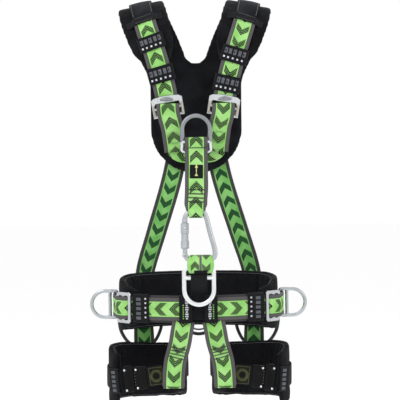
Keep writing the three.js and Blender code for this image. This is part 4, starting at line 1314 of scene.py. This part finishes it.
def ellipse_frames(half_x, half_y, first, last, sign=1.0, step=4.0, z=0.0):
    """Frames round the waist; the angle is 0 at the front and 90 at the hip."""
    count = max(2, round(math.radians(abs(last - first)) * (half_x + half_y) / 2 / step))
    frames, along, before = [], 0.0, None
    for i in range(count + 1):
        angle = math.radians(first + (last - first) * i / count)
        point = Vector((half_x * math.sin(angle) * sign, -half_y * math.cos(angle), z))
        tangent = Vector((half_x * math.cos(angle) * sign, half_y * math.sin(angle), 0)).normalized()
        if before is not None:
            along += (point - before).length
        before = point
        normal = Vector((half_y * math.sin(angle) * sign, -half_x * math.cos(angle), 0)).normalized()
        frames.append(Frame(point, tangent, Vector((0, 0, 1)), normal, along))
    return frames


def nearest(frames, test):
    return min(frames, key=test)


def build_waist_pad():
    heights = stepped([70, 88, 106, 114, 120] + [124] * 10 + [120, 114, 106, 88, 70])
    frames = ellipse_frames(PAD_X, PAD_Y, 50, 310, step=4.0)

    def section(along):
        return box_section(heights(along), 11, 4.8, columns=16, crown=0.6)

    pad = loft("waist_padding", frames, section, [PADDING, MESH_LINING])
    swollen(pad, 0, 4.5, lambda place: abs(place.z) < 27 and ellipse_reach(place) > 1.0)
    finished(pad, "root", "padding", "waist_pad")
    edge = []
    for upper in (1, -1):
        edge.append([f.point + f.side * upper * (heights(i / (len(frames) - 1)) / 2 - 6.5) - f.normal * 6.5
                     for i, f in enumerate(frames)][1:-1])
    rows = seam("waist_pad_stitches", edge, THREAD_GREY, dash=3.0, gap=1.6, radius=0.4)
    pressed_on("root", "padding", rows)
    inner = [f for f in frames if abs(f.point.x) < 90 and f.point.y > 0]
    quilt = [[f.point + f.side * z - f.normal * 6.6 for f in inner] for z in (22, -22)]
    pressed_on("root", "padding",
               seam("waist_pad_quilting", quilt, THREAD_GREY, dash=3.0, gap=1.6, radius=0.4))


def ellipse_reach(place):
    """How far out a place is, where the waist pad's middle surface is 1."""
    return (place.x / PAD_X) ** 2 + (place.y / PAD_Y) ** 2


def swollen(obj, axis_x, cap, held):
    """A pad round an upright axis: an even skin with slight creases and mesh lining on the side towards the axis.
    Its filling presses out wherever no strap lies over it."""
    remeshed(obj, PAD_VOXEL, smooth=2)
    for name, size, depth in (("creases", 0.05, 0.0016), ("dents", 0.018, 0.0006)):
        texture = bpy.data.textures.new(f"{obj.name}_{name}", "CLOUDS")
        texture.noise_scale = size
        move = obj.modifiers.new(name, "DISPLACE")
        move.texture = texture
        move.texture_coords = "LOCAL"
        move.strength = depth
    apply_modifiers(obj)
    for polygon in obj.data.polygons:
        outward = polygon.center - Vector((axis_x * MM, 0, polygon.center.z))
        polygon.material_index = 1 if polygon.normal.dot(outward.normalized()) < -0.45 else 0
    puffed(obj, 3.0, cap, held)


def build_waist(name, sign):
    frames = ellipse_frames(WAIST_X, WAIST_Y, 4.4, 179, sign)
    belt = strap(f"{name}_waist_belt", frames, face_pair(True))
    finished(belt, "root", "green_webbing", f"{name}_waist_strap")

    def at_angle(angle):
        return ellipse_frames(WAIST_X, WAIST_Y, angle - 1, angle + 1, sign, step=1.0)[1]

    # grey backing tape that shows above and below the belt in front
    backing = ellipse_frames(WAIST_X - 3.0, WAIST_Y - 3.0, 6, 47, sign)
    pressed_on("root", "black_webbing",
               strap(f"{name}_belt_backing", backing, [GREY_WEB], width=54, thickness=1.8))
    side = at_angle(40.2)
    keeper = curved_band(f"{name}_side_band", 33.4, 47.1, sign, 58, 8.4)
    finished(keeper, "root", "elastic", f"{name}_side_keeper")
    bars = [(x, 5.5, 6.2, 11.0) for x in (-19, -10, 0, 9.5, 18.5)]
    dashes = [(x, -10.5, 3.6, 3.8) for x in (-17, -7.5, 2, 11.5, 20)]
    pressed_on("root", "elastic", boxes(f"{name}_side_marks", side, bars, 4.0, 0.75, [GREY_MARK]),
               boxes(f"{name}_side_pale_marks", side, dashes, 3.7, 0.8, [WHITE_MARK]))
    front = at_angle(8.2)
    keeper = curved_band(f"{name}_front_band", 4.0, 12.2, sign, 55, 8.4)
    finished(keeper, "root", "elastic", f"{name}_front_keeper")
    marks = [(-18 + 4.4 * i, -1.0, 2.8, 6.5 if i % 3 else 4.0) for i in range(9)]
    lines = [(-18 + 4.4 * i, 6.0, 2.4, 2.6) for i in range(7)]
    pressed_on("root", "elastic", boxes(f"{name}_front_marks", front, marks, 4.1, 0.5, [WHITE_MARK]),
               boxes(f"{name}_front_green_marks", front, lines, 4.1, 0.5, [GREEN_MARK]))

    # buckle, with the strap's doubled end through it
    dress(f"{name}_waist_buckle", BUCKLE_STEEL, bevel=1.0)
    buckle = at_angle(BUCKLE_ANGLE)
    # it comes up through the frame's front window, then lies over the middle and rear bars
    bend = [(-16, 2.8), (-12, 4.2), (-9.5, 7.6), (-6.5, 10.2), (-2, 11.2), (6, 11.3), (15, 11.2), (22, 10.4),
            (29, 7.6), (36, 4.4), (44, 3.2)]
    curve = []
    for a, n in bend:
        f = at_angle(BUCKLE_ANGLE + a / BELT_PER_DEGREE)
        curve.append(f.point + f.normal * n)
    loop_frames = facing_frames(curve, buckle.side, buckle.normal)
    pressed_on("root", "green_webbing",
               strap(f"{name}_buckled_belt", loop_frames, face_pair(True), width=45, thickness=2.4))

    # hip ring
    hip_ring(name, sign)
    tube_points = mirrored([(169, 36, -24), (170, 39, -40), (167, 60, -68), (150, 101, -100),
                            (126, 119, -112), (102, 118, -100), (86, 112, -72), (81, 106, -42),
                            (80, 105, -24)], sign)
    loop = tube(f"{name}_gear_cord", tube_points, 3.7, RUBBER, sides=12)
    finished(loop, "root", "rubber_cord", f"{name}_gear_loop")


def curved_band(name, first, last, sign, height, depth, thickness=1.8):
    """An elastic band round the belt that follows the belt's own curve."""
    frames = ellipse_frames(WAIST_X, WAIST_Y, first, last, sign, step=3.0)
    half, deep, corner = (height - thickness) / 2, (depth - thickness) / 2, 3.0
    places = band_outline(half, deep, corner, (0, 30, 60, 90), [0.8 - 0.2 * i for i in range(9)])
    shell = []
    for grow in (thickness / 2, -thickness / 2):
        ring = []
        for i, (x, y) in enumerate(places):
            px, py = places[i - 1]
            nx, ny = places[(i + 1) % len(places)]
            out = Vector((ny - py, px - nx)).normalized()
            ring.append((x + out.x * grow, y + out.y * grow))
        shell.append(ring)
    verts, flat, faces = [], [], []
    size = len(places)
    rows = [(f, shell[0]) for f in frames] + [(f, shell[1]) for f in reversed(frames)]
    for f, ring in rows:
        for k, (x, y) in enumerate(ring):
            verts.append(f.point + f.side * x + f.normal * y)
            flat.append((f.along, x if abs(y) > deep - corner else y + half))
    for i in range(len(rows)):
        j = (i + 1) % len(rows)
        for k in range(size):
            m = (k + 1) % size
            faces.append((i * size + k, i * size + m, j * size + m, j * size + k))
    return new_object(name, verts, faces, [ELASTIC], flat)


def hip_ring(name, sign):
    middle = 27.5
    points = [(171, 0, -middle + 4.5), (172.5, 0, -middle + 1.2), (176, 0, -middle), (190, 0, -middle)]
    points += arc(196.5, 0, middle, -90, 90, 14)
    points += [(190, 0, middle), (176, 0, middle), (172.5, 0, middle - 1.2), (171, 0, middle - 4.5),
               (169.6, 0, 12), (169.5, 0, 0), (169.6, 0, -12)]
    points = mirrored(points, sign)
    ring = bent_ring(f"{name}_hip_outer", points, round_section(3.5, 3.8, 18, 2.6), STEEL)
    bar = tube(f"{name}_hip_bar", mirrored([(185.5, 0, z) for z in (-26.5, -9, 9, 26.5)], sign), 3.5, STEEL)
    finished(joined(f"{name}_hip_dee", [ring, bar]), f"{name}_hip_ring", "steel", f"{name}_hip_ring")


BUCKLE_STEEL = metal("polished_buckle_steel", "d3d6d9", "9a9ea3", (0.14, 0.3))


def build_rear_loop():
    points = [(-50, 114.5, -24), (-49, 115.5, -42), (-32, 120, -70), (0, 122, -82), (32, 120, -70),
              (49, 115.5, -42), (50, 114.5, -24)]
    finished(tube("rear_gear_cord", points, 3.7, RUBBER, sides=12), "root", "rubber_cord", "rear_gear_loop")


def build_inner_loop():
    """A thin cord loop inside the belt, at the middle of the back."""
    points = [(-28, 97, -40), (-26, 96, -54), (-14, 95, -65), (0, 95, -68.5), (14, 95, -65), (26, 96, -54),
              (28, 97, -40)]
    pressed_on("root", "rubber_cord", tube("inner_thin_loop", points, 1.8, RUBBER, sides=10))


# ------------------------------------------------------------------ back

def build_back():
    dress("dorsal_plate", PLATE, bevel=0.6)
    y, bow_z, top_z, middle = 125.5, 425, 450, 28
    points = arc(0, bow_z, middle, 180, 360, 14, y)
    points += [(middle, y, top_z - 6), (middle - 1.5, y, top_z - 1.5), (middle - 6, y, top_z), (0, y, top_z),
               (6 - middle, y, top_z), (1.5 - middle, y, top_z - 1.5), (-middle, y, top_z - 6)]
    ring = bent_ring("dorsal_dee", points, round_section(4.0, 4.0, 20, 2.6), ALUMINIUM)
    finished(ring, "dorsal_ring", "aluminium", "dorsal_ring")


BACK_POINTS = [(25, 113.5, 424), (54, 113.5, 271), (90, 108, 150), (116, 97, 62), (119, 93, 22),
               (119.5, 92.5, -22), (120.5, 92, -70)]
BACK_NORMALS = [(0.05, 1, 0), (0.08, 1, 0), (0.3, 0.95, 0), (0.48, 0.88, 0), (0.5, 0.87, 0), (0.5, 0.87, 0),
                (0.48, 0.88, 0)]


def build_back_strap(name, sign):
    frames = frames_along(mirrored(BACK_POINTS, sign), mirrored(BACK_NORMALS, sign))
    # the back straps turn their inner faces forwards, in the darker copy of the webbing with painted shade
    inside = WEB_SHADED_INSIDE[sign < 0]
    piece = strap(f"{name}_back_webbing", frames, [WEB[sign < 0], inside])
    finished(piece, "root", "green_webbing", f"{name}_back_strap")


# ------------------------------------------------------------------ legs

LEG_X, FRONT_Y = 108.0, -76.0
LEG_PAD_RADIUS = 76
REAR_TOP = (121, 88.6, -62)


def leg_place(radius, degrees, z, sign):
    angle = math.radians(degrees)
    return ((LEG_X + radius * math.sin(angle)) * sign, -radius * math.cos(angle), z)


def leg_facing(degrees, sign):
    angle = math.radians(degrees)
    return (math.sin(angle) * sign, -math.cos(angle), 0)


def build_leg_pad(name, sign):
    angles = [48 + 264 * i / 14 for i in range(15)]
    height_at = stepped([-149, -147, -147, -149, -151, -149, -144, -137, -137])
    points = [leg_place(LEG_PAD_RADIUS, a, height_at(i / 14), sign) for i, a in enumerate(angles)]
    frames = frames_along(points, [leg_facing(a, sign) for a in angles])
    heights = stepped([102, 124, 125, 122, 121, 118, 110, 98, 78])
    pad = loft(f"{name}_leg_padding", frames,
               lambda a: box_section(heights(a), 9.4, 4.2, columns=14, crown=0.5), [PADDING, MESH_LINING])

    def under_strap(place):
        radial = math.hypot(place.x - LEG_X * sign, place.y)
        return radial > LEG_PAD_RADIUS and abs(place.z - slope_z(abs(place.x))) < 24

    swollen(pad, LEG_X * sign, 4.0, under_strap)
    finished(pad, f"{name}_leg", "padding", f"{name}_leg_pad")
    rows = []
    for upper in (1, -1):
        rows.append([f.point + f.side * upper * (heights(i / (len(frames) - 1)) / 2 - 6) - f.normal * 5.7
                     for i, f in enumerate(frames)][1:-1])
    pressed_on(f"{name}_leg", "padding",
               seam(f"{name}_leg_pad_stitches", rows, THREAD_GREY, dash=3.0, gap=1.6, radius=0.4))


SLOPE_X, SLOPE_Z, SLOPE = 87.0, -138.0, math.radians(7)


def slope_z(x):
    return SLOPE_Z - (x - SLOPE_X) * math.tan(SLOPE)


def on_slope(distance, sign):
    """A frame on the leg band's sloping front, at a distance out along it; its side points out and down."""
    x, z = SLOPE_X + distance * math.cos(SLOPE), SLOPE_Z - distance * math.sin(SLOPE)
    outward = Vector((math.cos(SLOPE) * sign, 0, -math.sin(SLOPE)))
    up = Vector((math.sin(SLOPE) * sign, 0, math.cos(SLOPE)))
    return Frame(Vector((x * sign, FRONT_Y, z)), up, outward, Vector((0, -1, 0)), 0)


def leg_band_frames(sign):
    outer = [(x, y, slope_z(x)) for x, y in ((154.3, FRONT_Y), (164, FRONT_Y), (173.5, -68), (177, -50))]
    inner = [(x, y, slope_z(x)) for x, y in ((29, -55), (38, -72), (46, FRONT_Y), (52, FRONT_Y))]
    angles = [70 + i * 215 / 11 for i in range(12)]
    round_z = [slope_z(180) + (slope_z(30) - slope_z(180)) * i / 11 for i in range(12)]
    points = mirrored(outer, sign) + [leg_place(84, a, z, sign) for a,
                                      z in zip(angles, round_z)] + mirrored(inner, sign)
    normals = mirrored([(0, -1, 0), (0, -1, 0), (0.75, -0.65, 0), (0.9, -0.4, 0)], sign)
    normals += [leg_facing(a, sign) for a in angles]
    normals += mirrored([(-0.9, -0.4, 0), (-0.6, -0.8, 0), (0, -1, 0), (0, -1, 0)], sign)
    return frames_along(points, normals)


def build_leg(name, sign):
    leg, tongue = f"{name}_leg", f"{name}_leg_buckle_tongue"
    frames = leg_band_frames(sign)
    finished(strap(f"{name}_leg_webbing", frames, [BLACK_WEB], width=40), leg, "black_webbing",
             f"{name}_leg_band")
    # label keeper, between the buckle and the leg's outer side
    place = nearest(frames[:20], lambda f: abs(f.along - 16))
    cover = band(f"{name}_leg_label_band", place, 50, 9, 24, ELASTIC, thickness=1.6, corner=3.2)
    upright = place if place.side.z > 0 else turned(place, 180)
    bars = [(x, -1.0, 6.0, 10.5) for x in (-18, -9, 0, 9, 18)]
    pressed_on(leg, "elastic", cover, boxes(f"{name}_leg_label_marks", upright, bars, 4.4, 0.4, [GREY_MARK]))

    # quick buckle
    dress(f"{name}_leg_buckle_body", PLASTIC, bevel=0.7)
    dress(tongue, PLASTIC, bevel=0.7)
    for level in ("upper", "lower"):
        dress(f"{name}_{level}_release_lever", PLASTIC, bevel=0.8)
    for distance, owner, reach, lift in ((62.0, leg, 20.5, 6.4), (39.5, tongue, 18.5, 5.9)):
        for row, way in (("upper", 1), ("lower", -1)):
            spot = on_slope(distance, sign)
            spot = spot._replace(point=spot.point + spot.tangent * reach * way)
            pressed_on(owner, "aluminium",
                       disc(f"{name}_{row}_rivet_{distance:.0f}", spot, 2.3, lift, 0.7, ALUMINIUM, 24, 0.9))
    ribs = [(x, 0, 1.4, 30) for x in (-4.5, -1.5, 1.5)]
    pressed_on(leg, "buckle_plastic",
               boxes(f"{name}_buckle_ribs", on_slope(55.5, sign), ribs, 6.3, 0.7, [PLASTIC]))
    pressed_on(tongue, "buckle_plastic",
               boxes(f"{name}_tongue_pad", on_slope(30.5, sign), [(0, 0, 8.5, 30.0)], 5.9, 0.7, [PLASTIC]))
    teeth = [(0, -12 + 6 * i, 1.6, 2.2) for i in range(5)]
    pressed_on(tongue, "buckle_plastic",
               boxes(f"{name}_tongue_teeth", on_slope(42.8, sign), teeth, 5.9, 0.5, [GREY_MARK]))

    ends = [on_slope(d, sign) for d in (-14, 25)]
    tail = frames_along([f.point for f in ends], [(0, -1, 0)])
    finished(strap(f"{name}_tongue_webbing", tail, [BLACK_WEB], width=40, wave=0.2), tongue, "black_webbing",
             f"{name}_tongue_strap")
    spot = on_slope(0, sign)
    backing = boxes(f"{name}_disc_ground", spot, [(0, 0, 30, 37)], 1.6, 0.6, [OLIVE_DARK])
    ring = disc(f"{name}_sewn_disc", spot, 12.5, 2.1, 0.7, OLIVE)
    core = disc(f"{name}_sewn_disc_middle", spot, 6.5, 2.9, 0.6, ELASTIC)
    sewn = [ring_line(spot, 12.2, 3.1), ring_line(spot, 9.4, 3.4)] + box_stitch(spot, 27, 34, 2.4)[:4]
    pressed_on(tongue, "cover_fabric", backing, ring, core,
               seam(f"{name}_disc_stitches", sewn, THREAD_OLIVE, dash=2.0, gap=0.9, radius=0.4))

    # riser from the belt to the leg, and the strap behind
    riser_points = mirrored([(29.5, -109.2, -23.5), (31.0, -111.2, -32), (34, -110.4, -48), (37, -105, -66),
                             (44, -88, -93), (48, -83, -108), (51, -82.5, -134), (52, -82.5, -159)], sign)
    riser_normals = [(0, -1, 0), (0, -1, -0.1), (0, -1, -0.2), (0, -1, -0.3), (0, -1, -0.2), (0, -1, 0),
                     (0, -1, 0), (0, -1, 0)]
    frames = frames_along(riser_points, riser_normals, 3.0)
    front = strap(f"{name}_riser_webbing", frames, face_pair(True))
    rear_loop = frames_along(mirrored([(45, -70, -104), (50.5, -70, -134), (52, -70, -159)], sign),
                             [(0, -1, 0)])
    second = strap(f"{name}_riser_back", rear_loop, face_pair(True), width=40, thickness=2.6)
    under = frames_along(mirrored([(52, -82.2, -158), (52, -80, -161.5), (52, -76, -162.8),
                                   (52, -72.2, -161.5), (52, -70, -158)], sign),
                         [(0, -1, -1), (0, -0.6, -1), (0, 0, -1), (0, 0.6, -1), (0, 1, -0.6)], 1.5)
    turn = strap(f"{name}_riser_turn", under, face_pair(True), width=42, thickness=2.6, wave=0)
    riser = joined(f"{name}_riser_straps", [front, second, turn])
    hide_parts(f"{name}_riser")
    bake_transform(riser)
    tacks = tack_rows(frames, (-79, -86, -93, -100), 34, 1.9)
    tack = seam(f"{name}_riser_tacks", tacks, THREAD_BLACK, dash=2.0, gap=0.4, radius=0.55)
    pressed_on(leg, "green_webbing", tack)

    rear = frames_along(mirrored([REAR_TOP, (120, 89, -100), (119, 88.5, -130), (118, 88, -162)], sign),
                        mirrored([(0.4, 0.9, 0), (0.2, 1, 0), (0.12, 1, 0), (0.12, 1, 0)], sign))
    finished(strap(f"{name}_rear_leg_webbing", rear, [WEB[sign < 0], WEB_SHADED_INSIDE[sign < 0]]), leg,
             "green_webbing", f"{name}_rear_leg_strap")


# ------------------------------------------------------------------ the whole saddle

add_camera()
add_stage()
build_yoke()
build_sternal()
build_carabiner()
build_link()
build_ventral_ring()
build_waist_pad()
build_rear_loop()
build_inner_loop()
build_back()
for side_name, side_sign in SIDES:
    build_shoulder(side_name, side_sign)
    build_adjuster(side_name, side_sign)
    build_chest(side_name, side_sign)
    build_waist(side_name, side_sign)
    build_back_strap(side_name, side_sign)
    build_leg_pad(side_name, side_sign)
    build_leg(side_name, side_sign)
